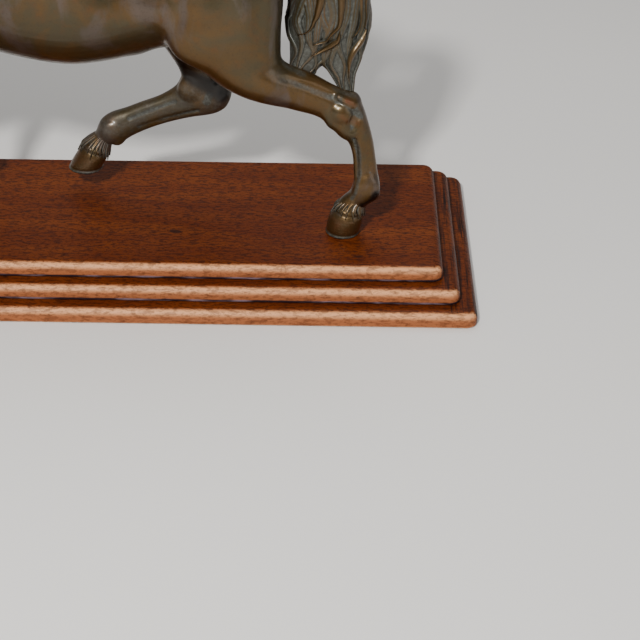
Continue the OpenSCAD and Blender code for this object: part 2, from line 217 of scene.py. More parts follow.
class Loft:
    """A skin through rings. A station is front x, front z, rear x, rear z, half width, middle y."""

    def __init__(self, stations, sides=40):
        st = smooth_stations(smooth_stations(stations))
        a = np.linspace(0, 2 * math.pi, sides, endpoint=False)
        ca = np.sign(np.cos(a)) * np.abs(np.cos(a)) ** (1 / SQUARENESS)
        sa = np.sign(np.sin(a)) * np.abs(np.sin(a)) ** (1 / SQUARENESS)
        middle = (st[:, [0, 1]] + st[:, [2, 3]]) / 2
        half = (st[:, [2, 3]] - st[:, [0, 1]]) / 2
        xz = middle[:, None] - half[:, None] * ca[None, :, None]
        y = st[:, 5][:, None] + st[:, 4][:, None] * sa[None]
        m, n = len(st), sides
        ends = [[middle[k, 0], st[k, 5], middle[k, 1]] for k in (0, -1)]
        self.points = np.vstack([np.stack([xz[..., 0], y, xz[..., 1]], axis=-1).reshape(-1, 3), ends])
        k, i = np.meshgrid(np.arange(m - 1), np.arange(n), indexing="ij")
        one, two = (k * n + i).ravel(), (k * n + (i + 1) % n).ravel()
        skin = np.stack([one, two, two + n, one + n], axis=1)
        i = np.arange(n)
        first = np.stack([np.full(n, m * n), (i + 1) % n, i], axis=1)
        last = np.stack([np.full(n, m * n + 1), (m - 1) * n + i, (m - 1) * n + (i + 1) % n], axis=1)
        self.triangles = np.vstack([skin[:, [0, 1, 2]], skin[:, [0, 2, 3]], first, last])
        p = self.points[self.triangles]
        if np.einsum("ij,ij->", p[:, 0], np.cross(p[:, 1], p[:, 2])) < 0:
            self.triangles = self.triangles[:, ::-1]

    def box(self):
        return self.points.min(0), self.points.max(0)

    def distance(self, at, clay, where):
        grid = vdb.FloatGrid.createLevelSetFromPolygons(
            self.points / clay.cell, triangles=self.triangles, halfWidth=REACH / clay.cell)
        out = np.zeros(clay.d[where].shape, np.float32)
        grid.copyToArray(out, ijk=tuple(int(s.start + o) for s, o in zip(where, clay.start)))
        return out * clay.cell


ADD, CUT = 1, -1
recipe = []


def add(shape, soft):
    recipe.append((ADD, shape, soft))


def cut(shape, soft):
    recipe.append((CUT, shape, soft))


def both(make):
    """Calls make for the near and the far side."""
    for side in (NEAR, FAR):
        make(side)


def rod(side, points, radii):
    """A Rod through points that are given for the far side."""
    return Rod([(x, y * side, z) for x, y, z in points], radii)


def stations_at(y, *stations):
    """Stations whose middle is at y, or off it by a sixth number. Without one they end at the half width."""
    return [(*station[:5], y + sum(station[5:])) for station in stations]


# ---------------- anatomy
HIND, FORE = 21.6, 18.0  # the legs' distances from the middle plane

BARREL = stations_at(
    0, (104.4, 157, 104.7, 126, 9), (101.5, 163.5, 102.8, 110, 22), (93, 170.5, 92, 97, 30),
    (77, 175.5, 75, 91, 34), (60, 176, 58, 93.2, 35), (42, 173.5, 42, 92.6, 34), (25, 172, 25, 87.4, 36),
    (5, 172.5, 3, 84.2, 38), (-15, 176, -18, 86.6, 38), (-34, 184.5, -40, 91.5, 35.5),
    (-49, 194.5, -61, 97.5, 31.5), (-61, 201.5, -82, 106, 28), (-70, 205, -99, 119, 26),
    (-77, 208, -110, 138, 24))
NECK = stations_at(
    0, (-66, 203, -96, 122, 22), (-77, 208, -110, 139, 22), (-88, 221, -116.5, 158, 18.5),
    (-99, 236, -120.5, 177, 15.5), (-110, 249.5, -123, 195, 13), (-121, 259, -125.5, 211, 11.6),
    (-132, 263.5, -128, 224, 11), (-138, 264, -131, 229, 9))
NEAR_HIND = stations_at(
    -HIND, (50, 152, 98, 160, 8, 8), (46, 128, 104.4, 133, 14, 1.5), (51, 112, 104.8, 113, 15.4, -0.8),
    (58.5, 97, 104.7, 101, 14.2, -1), (69, 87, 105.2, 94.2, 12.8, -1), (84.5, 78.6, 109.5, 90.3, 11, -0.6),
    (98, 73, 115.5, 87.8, 9.4), (109.5, 68.4, 121.5, 85.2, 7.8), (119.5, 65.7, 129.6, 80, 6.6),
    (126, 62.4, 137.6, 77.2, 6.2), (131, 57.6, 143, 73.6, 6.2), (135.5, 54, 146.6, 65, 5.9),
    (138.8, 48.6, 150, 52.5, 4.9), (140.4, 41.5, 151.5, 43.5, 4.3), (140.8, 34, 152.6, 36, 4.5),
    (141.4, 27.6, 153.6, 28.4, 5.6), (138.9, 22.8, 152.6, 21.2, 5.4), (135.2, 19.4, 148, 15.8, 5.4),
    (132.8, 15.6, 145.8, 12.6, 6), (132, 10.4, 145.4, 8.5, 6.2))
FAR_HIND = stations_at(
    HIND, (46, 152, 98, 160, 8, -8), (37, 126, 103.5, 130, 14, -1.5), (36, 105, 97, 110, 14.8, 0.6),
    (39.5, 90, 88, 94, 12.5, 0.6), (44.5, 81, 80, 79.5, 9.6), (49, 73.6, 77, 69, 7.6),
    (51.6, 66.8, 76.6, 59.4, 6.6), (49.8, 62, 75, 50, 6.3), (45.6, 58.2, 68, 45.4, 5.7),
    (39, 54.4, 57, 43.4, 5.1), (30.2, 51, 44.4, 40.2, 4.8), (21.4, 47.4, 32.9, 36, 4.7),
    (14, 44.8, 24.4, 31.8, 5.3), (8.4, 40.4, 19, 28.4, 5.9), (5.2, 33.6, 13, 27, 5),
    (1.6, 30.4, 11.6, 24, 5.8), (-1, 26, 10.4, 20.6, 6.2))
NEAR_FORE = stations_at(
    -FORE, (-104, 166, -74, 172, 6, 6), (-110, 147, -68, 134, 10, -1), (-109, 131, -71, 113, 11.4, -2),
    (-109.5, 122.5, -84, 101.5, 10, -2), (-113, 117, -96, 97.5, 8.2, -1.5),
    (-119.5, 112.4, -106, 95, 6.9, -1), (-127, 106, -109.8, 93.6, 6.8, -0.5),
    (-127.6, 96.5, -111.2, 91.8, 6.3), (-123.4, 87.5, -112.6, 85.8, 4.8), (-119.4, 77.5, -110, 75, 4.2),
    (-115, 68.6, -105.6, 65.8, 4.5), (-111.5, 62, -100, 60.4, 5.5), (-108.6, 56, -98, 57.4, 5),
    (-105.6, 51.2, -95.6, 53.6, 4.6), (-104, 46.8, -92.8, 51.6, 5.7), (-102.6, 43.6, -90.6, 50.4, 6.1))
FAR_FORE = stations_at(
    FORE, (-104, 164, -72, 170, 6, -6), (-107, 143, -65, 136, 10, 1), (-96, 122, -57, 118, 11.4, 1.5),
    (-84, 107, -56, 106.5, 9.8, 1.5), (-77.5, 95, -56.5, 95, 8.2, 1), (-72.6, 82, -57, 82, 6.8, 0.5),
    (-69.8, 72.5, -56, 72.5, 6.4), (-69.2, 65, -55.4, 65, 6.4), (-67, 57, -56, 57.4, 5.4),
    (-64.8, 47, -55.2, 47, 4.3), (-63.8, 36, -54, 35.6, 4.4), (-63.8, 28.4, -52.6, 27, 5.6),
    (-65, 22.6, -53.4, 20, 5.1), (-67.4, 18, -57.4, 15, 4.7), (-70, 14.6, -58, 11.8, 5.8),
    (-71.4, 10, -58, 8.6, 6.2))


def trunk():
    add(Loft(BARREL, sides=64), 2)
    add(Loft(NECK, sides=48), 9)
    add(Loft(NEAR_HIND), 7)
    add(Loft(FAR_HIND), 7)
    add(Loft(NEAR_FORE), 8)
    add(Loft(FAR_FORE), 8)


def hindquarters(side):
    y = HIND * side
    add(Ball((74, 0.72 * y, 152), (31, 18, 24), pitch=8), 8)  # rump
    add(Ball((88.8, y + 3 * side, 128), (13.3, 11, 26), pitch=-4), 7)  # hamstrings
    add(Ball((55, 22.5 * side, 158), (9, 6.5, 8)), 10)  # point of the hip
    cut(Ball((34, 41 * side, 146), (16, 8, 22), pitch=12), 12)  # hollow of the flank
    # the furrows between the two hamstrings and in front of the thigh
    cut(rod(side, [(80, 37, 162), (92, 38.2, 142), (97, 40, 122), (97, 39.5, 104)], [1, 2.4, 2.6, 1]), 7)
    cut(rod(side, [(60, 37, 150), (55, 39.5, 128), (56, 41, 112)], [1, 2.2, 1]), 9)


def stifle_and_flank():
    add(Ball((63, -29.6, 105), (10, 5, 9)), 9)
    add(Ball((46, 29.8, 99), (10, 5, 9)), 9)
    add(Rod([(48, -25, 120), (42, -17, 107), (34, -8, 97)], [6, 4, 3]), 9)
    add(Rod([(42, 25, 116), (38, 17, 105), (32, 8, 97)], [6, 4, 3]), 9)


def near_gaskin_and_hock():
    y = -HIND
    skin = y - 9.2
    add(Ball((92, y - 3.5, 83.6), (18, 7.5, 8), pitch=24), 6)
    add(Ball((84, y + 3, 84.5), (17, 8, 7.5), pitch=24), 6)
    # the hollow between the calf and the tendon along its upper edge
    cut(Rod([(104, skin - 1.2, 88.4), (108, skin + 0.2, 87), (114, skin + 1, 85), (121.5, skin + 1.7, 81.8),
             (131, skin + 2.6, 77), (138, skin + 3.3, 72.2), (142.5, skin + 4, 66)],
            [0.4, 1, 1.5, 1.9, 1.9, 1.5, 0.6]), 2.2)
    cut(Rod([(101, y + 12, 88.6), (108, y + 9.4, 86), (120, y + 7.6, 80.8), (133, y + 6.6, 73.4)],
            [0.3, 1, 1.5, 1.1]), 2.6)
    add(Rod([(112, y, 86.8), (124, y, 81), (132.6, y, 76.2), (138.4, y, 73)], [2.5, 2.5, 2.7, 3.2]), 2.4)
    add(Ball((138.8, y, 72.4), (3.8, 4, 4.4), pitch=35), 3)  # point of the hock
    add(Ball((132, y - 4, 64.8), (5, 2.6, 5.6), pitch=30), 4)
    add(Ball((96.5, y - 7.4, 86), (8.5, 4, 4.4), pitch=24), 5)  # the calf's round top
    add(Rod([(133, y - 5.2, 76.6), (136.4, y - 5.2, 74.8), (139.2, y - 4.6, 73)], [1, 1.3, 1]), 3.2)
    add(Ball((134.8, y - 6, 68.2), (3.8, 1.7, 2.8), pitch=32), 3.4)
    add(Ball((132, y + 4, 64.8), (5, 2.6, 5.6), pitch=30), 4)
    add(Ball((137, y - 3.2, 58.8), (4, 2.6, 4.6), pitch=20), 4)
    cut(Ball((141, y - 6.8, 64), (2.2, 1.8, 5), pitch=20), 2.4)
    cut(Ball((141, y + 6.8, 64), (2.2, 1.8, 5), pitch=20), 2.4)
    # cannon: bone in front, tendons behind
    for s in (-1, 1):
        cut(Rod([(147.6, y + s * 5.4, 55), (148.6, y + s * 5.2, 46), (149.3, y + s * 5.2, 36)],
                [0.6, 1, 0.6]), 1.8)
        cut(Rod([(140.6, y + s * 4.9, 54), (141.5, y + s * 4, 49), (142, y + s * 3.7, 41),
                 (142.2, y + s * 3.9, 33), (141.2, y + s * 4.8, 26)], [0.7, 1.1, 1.2, 1.1, 0.6]), 1.4)
        add(Ball((147.6, y + s * 3.6, 26), (6, 2.2, 6)), 4)
    add(Ball((151.4, y, 21.6), (2.4, 2.4, 2.6), pitch=20), 3)  # ergot


def far_gaskin_and_hock():
    y = HIND
    for s in (-1, 1):
        cut(Rod([(79, y + s * 9.4, 88), (74.5, y + s * 7.6, 76), (70, y + s * 6.6, 66)], [1, 1.6, 1.2]), 2.8)
        add(Ball((55.5, y + s * 4.2, 61), (5, 2.6, 5), pitch=-30), 3.4)
        add(Ball((70.6, y + s * 4, 56), (2.2, 2, 5), pitch=-10), 2)
        cut(Rod([(60, y + s * 5.6, 48.6), (44, y + s * 5.4, 43.8), (29, y + s * 5.2, 38.4)],
                [0.8, 1.1, 0.8]), 1.6)
        cut(Rod([(48, y + s * 5.2, 53.6), (36, y + s * 5, 48.6), (24, y + s * 5, 43.4)], [0.7, 1, 0.7]), 1.6)
        add(Ball((14, y + s * 4.4, 36), (4.6, 1.8, 4.6), pitch=-30), 2)
    add(Rod([(78, y, 84), (75.6, y, 70), (73.4, y, 58.4)], [2.4, 2.4, 3.6]), 2.4)
    add(Ball((72.4, y, 56), (3.8, 4.2, 4.4), pitch=-20), 2.5)
    add(Ball((16.8, y, 29.6), (3.4, 4, 3.2), pitch=-40), 2)


def foreleg(y, knee, knee_pitch, front, back, fetlock, heel):
    """The knee's block, the furrows along the cannon, and the fetlock."""
    add(Ball((knee[0], y, knee[1]), (6.4, 6.4, 7.4), pitch=knee_pitch), 3)
    for s in (-1, 1):
        for (top, foot), radii in ((front, [0.9, 0.7]), (back, [1, 0.8])):
            cut(Rod([(top[0], y + s * 5, top[1]), (foot[0], y + s * 4.9, foot[1])], radii), 1.6)
        add(Ball((fetlock[0], y + s * 4.3, fetlock[1]), (4.4, 1.8, 4.2), pitch=knee_pitch), 2)
    add(Ball((heel[0], y, heel[1]), (3, 3.8, 3.2)), 2)


def forearm(y, top, knee):
    """The extensor's belly, and the furrow between it and the flexors, on both sides of the forearm."""
    top, knee = np.array(top), np.array(knee)
    for s in (-1, 1):
        line = [(*(top + (knee - top) * t), y + s * w) for t, w in ((0.1, 10.8), (0.5, 8.6), (0.85, 7))]
        cut(Rod([(x, yy, z) for x, z, yy in line], [1, 1.4, 0.8]), 3)


def forequarters(side):
    shoulder = [(-60, 13, 188), (-80, 18.5, 168), (-97, 18.5, 146)]
    add(rod(side, shoulder, [10, 12, 11.5]), 12)
    upper_arm = [(-96, 18.5, 143), (-84, 21, 130), (-70, 20, 122)]
    add(rod(side, upper_arm, [11, 11, 9]), 12)
    add(Ball((-70, 22.6 * side, 142), (18, 9, 18), pitch=35), 9)  # triceps
    add(Ball((-105, 9.5 * side, 132), (9, 10, 12)), 6)  # breast
    # the furrows behind the shoulder blade, along its middle, and below it
    cut(rod(side, [(-50, 37, 176), (-53, 37.5, 156), (-60, 34, 132), (-62, 30, 116)], [2, 3.4, 3, 1.6]), 8)
    cut(rod(side, [(-72, 32.5, 178), (-84, 35, 160), (-91, 34.8, 148)], [0.8, 1.8, 1]), 9)
    cut(rod(side, [(-94, 35, 148), (-86, 36.6, 139), (-76, 36, 131)], [0.8, 1.8, 0.8]), 9)


def neck_muscles(side):
    add(rod(side, [(-64, 10, 190), (-84, 10, 207), (-104, 8, 232), (-124, 4.6, 250)], [9, 10.5, 9.5, 7]), 7)
    add(rod(side, [(-104, 12, 152), (-112, 9.5, 178), (-119.5, 6.8, 206), (-125, 5, 226)],
            [9, 7.4, 5.8, 4.5]), 5)
    cut(rod(side, [(-111, 17.4, 158), (-118, 12.8, 182), (-122.4, 11, 204), (-125, 10.4, 216)],
            [0.8, 1.8, 1.6, 0.8]), 6)


HEAD_START = np.array([-135.0, 0.0, 251.0])  # the middle of the poll
HEAD_DOWN = np.array([-0.56, 0.0, -0.8285])
HEAD_FRONT = np.array([-0.8285, 0.0, 0.56])
HEAD_PITCH = math.degrees(math.atan2(0.8285, -0.56))


def on_head(down, front, y=0.0):
    """A point on the head: so far down from the poll, so far towards the face, and so far to the side."""
    return tuple(HEAD_START + HEAD_DOWN * down + HEAD_FRONT * front + np.array([0, y, 0]))


def head_ball(down, front, y, radii, turn=0):
    return Ball(on_head(down, front, y), radii, pitch=HEAD_PITCH + turn)


def head_rod(side, points, radii):
    """A Rod through points on the head, given for the far side."""
    return Rod([on_head(down, front, y * side) for down, front, y in points], radii)


def skull():
    add(head_ball(10, 2, 0, (19, 11.6, 15.5)), 7)
    add(head_rod(FAR, [(4, 5, 0), (22, 6.4, 0), (40, 4.8, 0), (58, 3, 0), (72, 1.4, 0)],
                 [10.5, 11, 9, 7.8, 7.6]), 6)
    add(head_rod(FAR, [(22, -8, 0), (44, -5.6, 0), (66, -4.4, 0)], [8, 5.8, 5]), 4)  # between the jaws
    add(head_ball(77, 0, 0, (9, 8, 8.6)), 5)
    add(head_ball(81, -5.6, 0, (5.2, 5.4, 4)), 2.5)  # upper lip
    add(head_ball(75, -8.6, 0, (6, 4.4, 3.6)), 2.5)  # lower lip and chin


def face(side):
    add(head_ball(24, -8, 5.6 * side, (17, 6.6, 15)), 5)  # cheek
    add(head_rod(side, [(28, -14, 4.4), (50, -9.6, 3.4), (70, -7.6, 2.8)], [5, 3.8, 3.4]), 3)  # jaw
    add(head_rod(side, [(25, 2, 10.6), (38, 0.6, 9), (52, -0.6, 6.8)], [2, 1.7, 1]), 3.5)  # facial crest
    cut(head_rod(side, [(36, 7.4, 12.2), (58, 4, 10.2)], [2.2, 1.6]), 5)
    cut(head_rod(side, [(44, -5, 10.4), (64, -4.2, 8.6)], [1.6, 1]), 4)
    # brow, socket and eyeball
    add(head_rod(side, [(10, 11.4, 7.4), (16, 12.2, 9.6), (23, 10.6, 10)], [2.6, 3, 2.2]), 3)
    cut(head_ball(18, 7.4, 14.6 * side, (6, 4.2, 4.4)), 3)
    add(head_ball(18, 7.4, 9.2 * side, (4.2, 4, 3.6)), 0.3)
    # nostril
    add(head_ball(74.5, 4, 5.8 * side, (5.2, 3.4, 4.2)), 2)
    cut(head_ball(75.6, 4.2, 9.2 * side, (3.2, 2.8, 1.8), turn=25), 0.9)
    add(head_rod(side, [(71.4, 3.2, 8.2), (74, 6.6, 8.2), (78.6, 5.4, 7.6)], [0.9, 1.2, 0.9]), 1)
    cut(head_rod(side, [(86.5, -3.6, 1), (80, -4, 6), (70.5, -5.2, 8.2)], [0.7, 0.8, 0.7]), 0.8)  # mouth
    # ear
    add(head_rod(side, [(2, 8.5, 6.2), (-6, 11, 7.4), (-14, 11.6, 8.4), (-21, 9.2, 8.2)],
                 [3.6, 4, 3.1, 0.9]), 2)
    cut(head_rod(side, [(-3, 14.6, 8.8), (-11, 14.8, 9.8), (-17, 12.4, 9.2)], [1.4, 2, 0.9]), 1)


trunk()
both(hindquarters)
stifle_and_flank()
both(forequarters)
cut(Rod([(-113, 0, 146), (-116, 0, 130), (-107, 0, 118)], [1.2, 2, 1.2]), 6)
both(neck_muscles)
near_gaskin_and_hock()
far_gaskin_and_hock()
foreleg(-FORE, (-119.5, 99.5), -60, ((-123, 86), (-113.6, 67)), ((-113.4, 82), (-107.4, 67)), (-106, 61.4),
        (-101.6, 60.4))
foreleg(FORE, (-62.6, 66), 0, ((-65.6, 54), (-63.6, 34)), ((-57.6, 54), (-56.4, 34)), (-58.6, 27.4),
        (-55, 23.6))
forearm(-FORE - 2, (-88, 116), (-112, 101))
forearm(FORE + 1, (-68, 112), (-63, 76))
skull()
both(face)

# ---------------- castings from the clay

TAIL = [
    (94, 149, 94, 164, 5.5, 0), (106.5, 150.5, 105.5, 166, 6.2, 0), (113, 150, 114.5, 168, 8, 0),
    (118, 146.5, 126, 166, 9.6, -0.6), (119, 141, 136, 159, 11.2, -1.6), (116, 133, 143, 148, 12.6, -2.8),
    (108, 122.5, 147, 134, 13.4, -4.2), (106.8, 111, 148, 119, 13.4, -5.6),
    (107.2, 102, 147.6, 106.5, 12.4, -6.6)]
INNER_LOCK = [
    (106.4, 110, 134, 112, 10.8, -6.4), (106.8, 103, 131.4, 104, 10.4, -7.8),
    (107.2, 97, 130, 95.6, 9.6, -9.6), (107.4, 92, 126.2, 88.6, 8, -12),
    (107.6, 88.4, 121.8, 83.8, 6.4, -14.6), (109.4, 85.6, 118, 81.4, 4.6, -17.4)]
OUTER_LOCK = [
    (119, 111, 147.8, 113, 11, -6), (121, 101, 147.6, 102, 10.2, -8), (123.6, 90, 144.4, 92, 8.4, -11.6),
    (127.4, 84, 141.8, 85.4, 6.8, -14.4), (131, 79.4, 140.9, 79.4, 5.2, -17),
    (134, 75.6, 140.4, 74.4, 4.2, -19.4)]
MANE = [
    (-72, 214, -88, 190, 4, -1), (-82, 226, -98, 203, 7, -2.5), (-92.5, 241, -107, 218, 8.6, -3.5),
    (-103.5, 255, -114, 231, 8.8, -3.6), (-115.5, 265.5, -121, 242, 8, -3),
    (-131, 270.5, -129, 247, 6.5, -2)]

add(Loft(shrunk(MANE, 2)), 4)
tail_recipe = [(ADD, Loft(shrunk(TAIL, 1.4)), 2), (ADD, Loft(shrunk(INNER_LOCK, 1.2)), 4),
               (ADD, Loft(shrunk(OUTER_LOCK, 1.2)), 4)]

# The ring where each casting meets its neighbour: front x, front z, rear x, rear z.
JOINTS = {
    "near_hind": (98, 70.6, 115.5, 87.8), "far_hind": (49, 73.6, 75.4, 69),
    "near_fore": (-113, 117, -96, 97.5), "far_fore": (-77.5, 95, -56.5, 95),
    "neck": (-77, 208, -111, 139), "head": (-132, 263.5, -128, 225)}
INWARD, OUTWARD = 1, -1

# Each casting: the CAD node it stands for, its window, its cell size, and its trims. A trim keeps the
# inward or outward side of a joint, everywhere or only inside a box.
CASTINGS = {
    "body": ("body_casting", (-125, -45, 60), (118, 45, 225), 1.1, [
        ("neck", INWARD, None), ("near_hind", INWARD, ((84, -45, 55), (130, -6, 98))),
        ("far_hind", INWARD, ((38, 6, 55), (92, 45, 80))),
        ("near_fore", INWARD, ((-130, -45, 55), (-84, -6, 122))),
        ("far_fore", INWARD, ((-90, 6, 55), (-52.5, 36, 96)))]),
    "neck": ("neck_casting", (-142, -34, 130), (-42, 34, 280), 0.8, [
        ("neck", OUTWARD, None), ("head", INWARD, None)]),
    "head": ("head_casting", (-195, -20, 170), (-122, 20, 284), 0.5, [("head", OUTWARD, None)]),
    "near_hind_leg": ("near_hind_leg", (92, -38, 6), (158, -8, 100), 0.5, [("near_hind", OUTWARD, None)]),
    "far_hind_leg": ("far_hind_leg", (-8, 8, 16), (92, 38, 84), 0.5, [("far_hind", OUTWARD, None)]),
    "near_fore_leg": ("near_fore_leg", (-135, -34, 40), (-82, -4, 126), 0.5, [("near_fore", OUTWARD, None)]),
    "far_fore_leg": ("far_fore_leg", (-92, 4, 6), (-46, 34, 106), 0.5, [("far_fore", OUTWARD, None)])}
# How strongly each casting's hollows grey, and how grey it is all over: grey-green patina on the tail,
# painted shade mostly on the far legs, which stand in the near side's shadow.
FINISH = {
    "body": (0.3, 0), "neck": (0.25, 0), "head": (0.8, 0),
    "near_hind_leg": (0.8, 0), "far_hind_leg": (1, 0.45),
    "near_fore_leg": (0.8, 0.05), "far_fore_leg": (1, 0.3), "tail": (1, 0.8)}
# Marks on the bronze, some real patina and wear, some painted light and shade: what changes, on which
# castings, along which line, its width and strength.
MARKS = [
    ("groove", "near_hind_leg body", [(107, -34, 88.6), (112.5, -33, 87), (121.5, -32, 82.6)], 2.6, 0.55),
    ("groove", "near_hind_leg",
     [(121.5, -32, 82.6), (131, -31, 78), (138, -30, 73), (143.4, -29, 67.6)], 2.8, 0.6),
    ("groove", "near_hind_leg", [(142, -29, 70), (143.6, -29, 66.6)], 3.4, 0.75),
    ("groove", "near_hind_leg",
     [(140.4, -29, 54), (141.4, -29, 49), (142, -29, 41), (142, -29, 32.6), (141, -29, 26),
     (138, -29, 22)], 1.9, 0.65),
    # painted shade: a dark line along the top of the gaskin, beneath the tail
    ("groove", "near_hind_leg body", [(105, -24, 92), (108, -24, 88.6), (115, -24, 87)], 3.2, 0.6),
    ("groove", "near_hind_leg", [(131, -24, 81), (139.6, -24, 76)], 2.8, 0.5),
    # painted highlight: a lighter grey patch on a facet of the far hock, where the light catches it
    ("groove", "far_hind_leg", [(66.4, 14, 58), (64.8, 14, 54)], 3.6, 0.9),
    ("rub", "near_hind_leg", [(137.6, -30, 76.8), (141.6, -30, 74)], 3.4, 1.1),
    ("rub", "near_hind_leg", [(134.5, -30, 68), (138, -30, 65), (143.5, -30, 63.4)], 3.4, 1.0),
    # painted shade: the eyes darkened in their sockets
    ("painted_shade", "head", [on_head(17, 7.4, -14), on_head(19, 7.4, -14)], 2.6, 0.75),
    ("painted_shade", "head", [on_head(17, 7.4, 14), on_head(19, 7.4, 14)], 2.6, 0.75),
    # painted shadow: the groin under the near thigh and the far gaskin beneath it, and painted shade down the
    # far cannon
    ("painted_shade", "far_hind_leg body", [(48, 10, 72), (56, 10, 68.6), (66, 10, 63), (74, 12, 58)], 6.5, 1),
    ("painted_shade", "far_hind_leg", [(56, 12, 52), (40, 12, 47), (22, 12, 40)], 7, 0.3),
    ("painted_shade", "body", [(40, 8, 92), (52, 8, 84), (60, 10, 78)], 11, 0.8),
    # painted shadow under the back of the near hind fetlock
    ("painted_shade", "near_hind_leg", [(153.4, -29, 23.6), (150.4, -29, 18.6), (147, -29, 15.4)], 3.4, 1)]
MARK_CORE, MARK_EDGE = 0.2, 1.15  # in widths: a mark is whole up to the first, and gone beyond the second
TAIL_WINDOW = ((88, -28, 68), (154, 14, 174), 0.6)


def sculpt(low, high, cell, steps):
    clay = Clay(low, high, cell * (1))
    for how, shape, soft in steps:
        clay.apply(how, shape, soft)
    return clay


def joint_plane(joint, keep):
    """A joint's middle, and its normal towards the side to keep, in metres."""
    x0, z0, x1, z1 = JOINTS[joint]
    normal = Vector((z0 - z1, 0, x1 - x0)).normalized() * keep
    return Vector(place([(x0 + x1) / 2, 0, (z0 + z1) / 2])), normal


def trim(bm, joint, keep, box):
    """Cuts the mesh at a joint, removes what is beyond it, and caps the hole with sharp edges."""
    point, normal = joint_plane(joint, keep)
    low, high = (None, None) if box is None else (place(box[0]), place(box[1]))

    def inside(p):
        return box is None or all(a <= x <= b for a, x, b in zip(low, p, high))

    chosen = [f for f in bm.faces if all(inside(v.co) for v in f.verts)]
    edges = {e for f in chosen for e in f.edges}
    verts = {v for f in chosen for v in f.verts}
    bmesh.ops.bisect_plane(bm, geom=[*verts, *edges, *chosen], plane_co=point, plane_no=normal, dist=1e-6)
    doomed = [f for f in bm.faces
              if (f.calc_center_median() - point).dot(normal) < 0 and inside(f.calc_center_median())]
    bmesh.ops.delete(bm, geom=doomed, context="FACES")
    rim = [e for e in bm.edges if e.is_boundary and inside(e.verts[0].co)
           and all(abs((v.co - point).dot(normal)) < 2e-5 for v in e.verts)]
    for e in rim:
        e.smooth = False
    bmesh.ops.triangle_fill(bm, edges=rim, use_beauty=True)


def keep_largest(bm):
    """Removes every loose part but the one with the most faces."""
    left, parts = set(bm.faces), []
    while left:
        todo, part = [left.pop()], []
        while todo:
            f = todo.pop()
            part.append(f)
            for e in f.edges:
                for g in e.link_faces:
                    if g in left:
                        left.remove(g)
                        todo.append(g)
        parts.append(part)
    parts.sort(key=len)
    bmesh.ops.delete(bm, geom=[f for part in parts[:-1] for f in part], context="FACES")


def rise(x, low, high):
    """0 below low and 1 above high, with a smooth rise between them."""
    t = np.clip((x - low) / (high - low), 0, 1)
    return t * t * (3 - 2 * t)


def set_patina_and_shade(mesh, groove, rub, painted_shade=None):
    """Keeps how recessed and rubbed each vertex is, and how much painted shade it gets, for the bronze
    material.
    """
    painted_shade = np.zeros(len(groove)) if painted_shade is None else painted_shade
    for name, values in (("groove", groove), ("rub", rub), ("painted_shade", painted_shade)):
        attribute = mesh.attributes.new(name, "FLOAT", "POINT")
        attribute.data.foreach_set("value", np.asarray(values, np.float32))


def coordinates(mesh):
    co = np.zeros(len(mesh.vertices) * 3, np.float32)
    mesh.vertices.foreach_get("co", co)
    return co.reshape(-1, 3).astype(float)


def new_piece(name, mesh, material, slot, *nodes):
    """A piece of the object that rides on the root body and stands for CAD nodes."""
    piece = bpy.data.objects.new(name, mesh)
    bpy.context.scene.collection.objects.link(piece)
    mesh.materials.append(material)
    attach(piece, "root")
    if nodes:
        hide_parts(*nodes)


def near_line(points, line):
    """Each point's distance from a string of points."""
    best = np.full(len(points), 1e9)
    for a, b in zip(line, line[1:]):
        t = np.clip((points - a) @ (b - a) / ((b - a) @ (b - a)), 0, 1)
        best = np.minimum(best, np.linalg.norm(points - a - t[:, None] * (b - a), axis=1))
    return best


def cast(name, clay, node, trims, finish):
    """Turns clay into a casting's piece, trimmed at its joints."""
    hollows, grey_patina_and_far_shade = finish
    points, quads = clay.mesh()
    mesh = bpy.data.meshes.new(name)
    mesh.from_pydata(place(points).tolist(), [], quads.tolist())
    bm = bmesh.new()
    bm.from_mesh(mesh)
    for joint, keep, box in trims:
        trim(bm, joint, keep, box)
    keep_largest(bm)
    bmesh.ops.recalc_face_normals(bm, faces=bm.faces)
    for f in bm.faces:
        f.smooth = True
    bm.to_mesh(mesh)
    bm.free()
    at = unplace(coordinates(mesh))
    fine, broad = clay.relief(at, 1.2), clay.relief(at, 3.5)
    # the all-over grey is real patina on the tail and painted shade on the far legs
    groove = hollows * (rise(-fine, 0.01, 0.14) + 0.8 * rise(-broad, 0.08, 0.7)) + grey_patina_and_far_shade
    patina = {"groove": groove, "rub": 0.6 * rise(fine, 0.05, 0.3), "painted_shade": np.zeros(len(at))}
    for what, pieces, line, width, much in MARKS:
        if name in pieces.split():
            line, _ = clay.snap(curve(line, 24), 0)
            faded = rise(near_line(at, line), MARK_CORE * width, MARK_EDGE * width)
            patina[what] = np.maximum(patina[what], much * (1 - faded))
    set_patina_and_shade(mesh, np.clip(patina["groove"], 0, 1), patina["rub"], patina["painted_shade"])
    new_piece(name, mesh, bronze, "bronze", node)


# ---------------- hair: ribbed locks laid on the clay

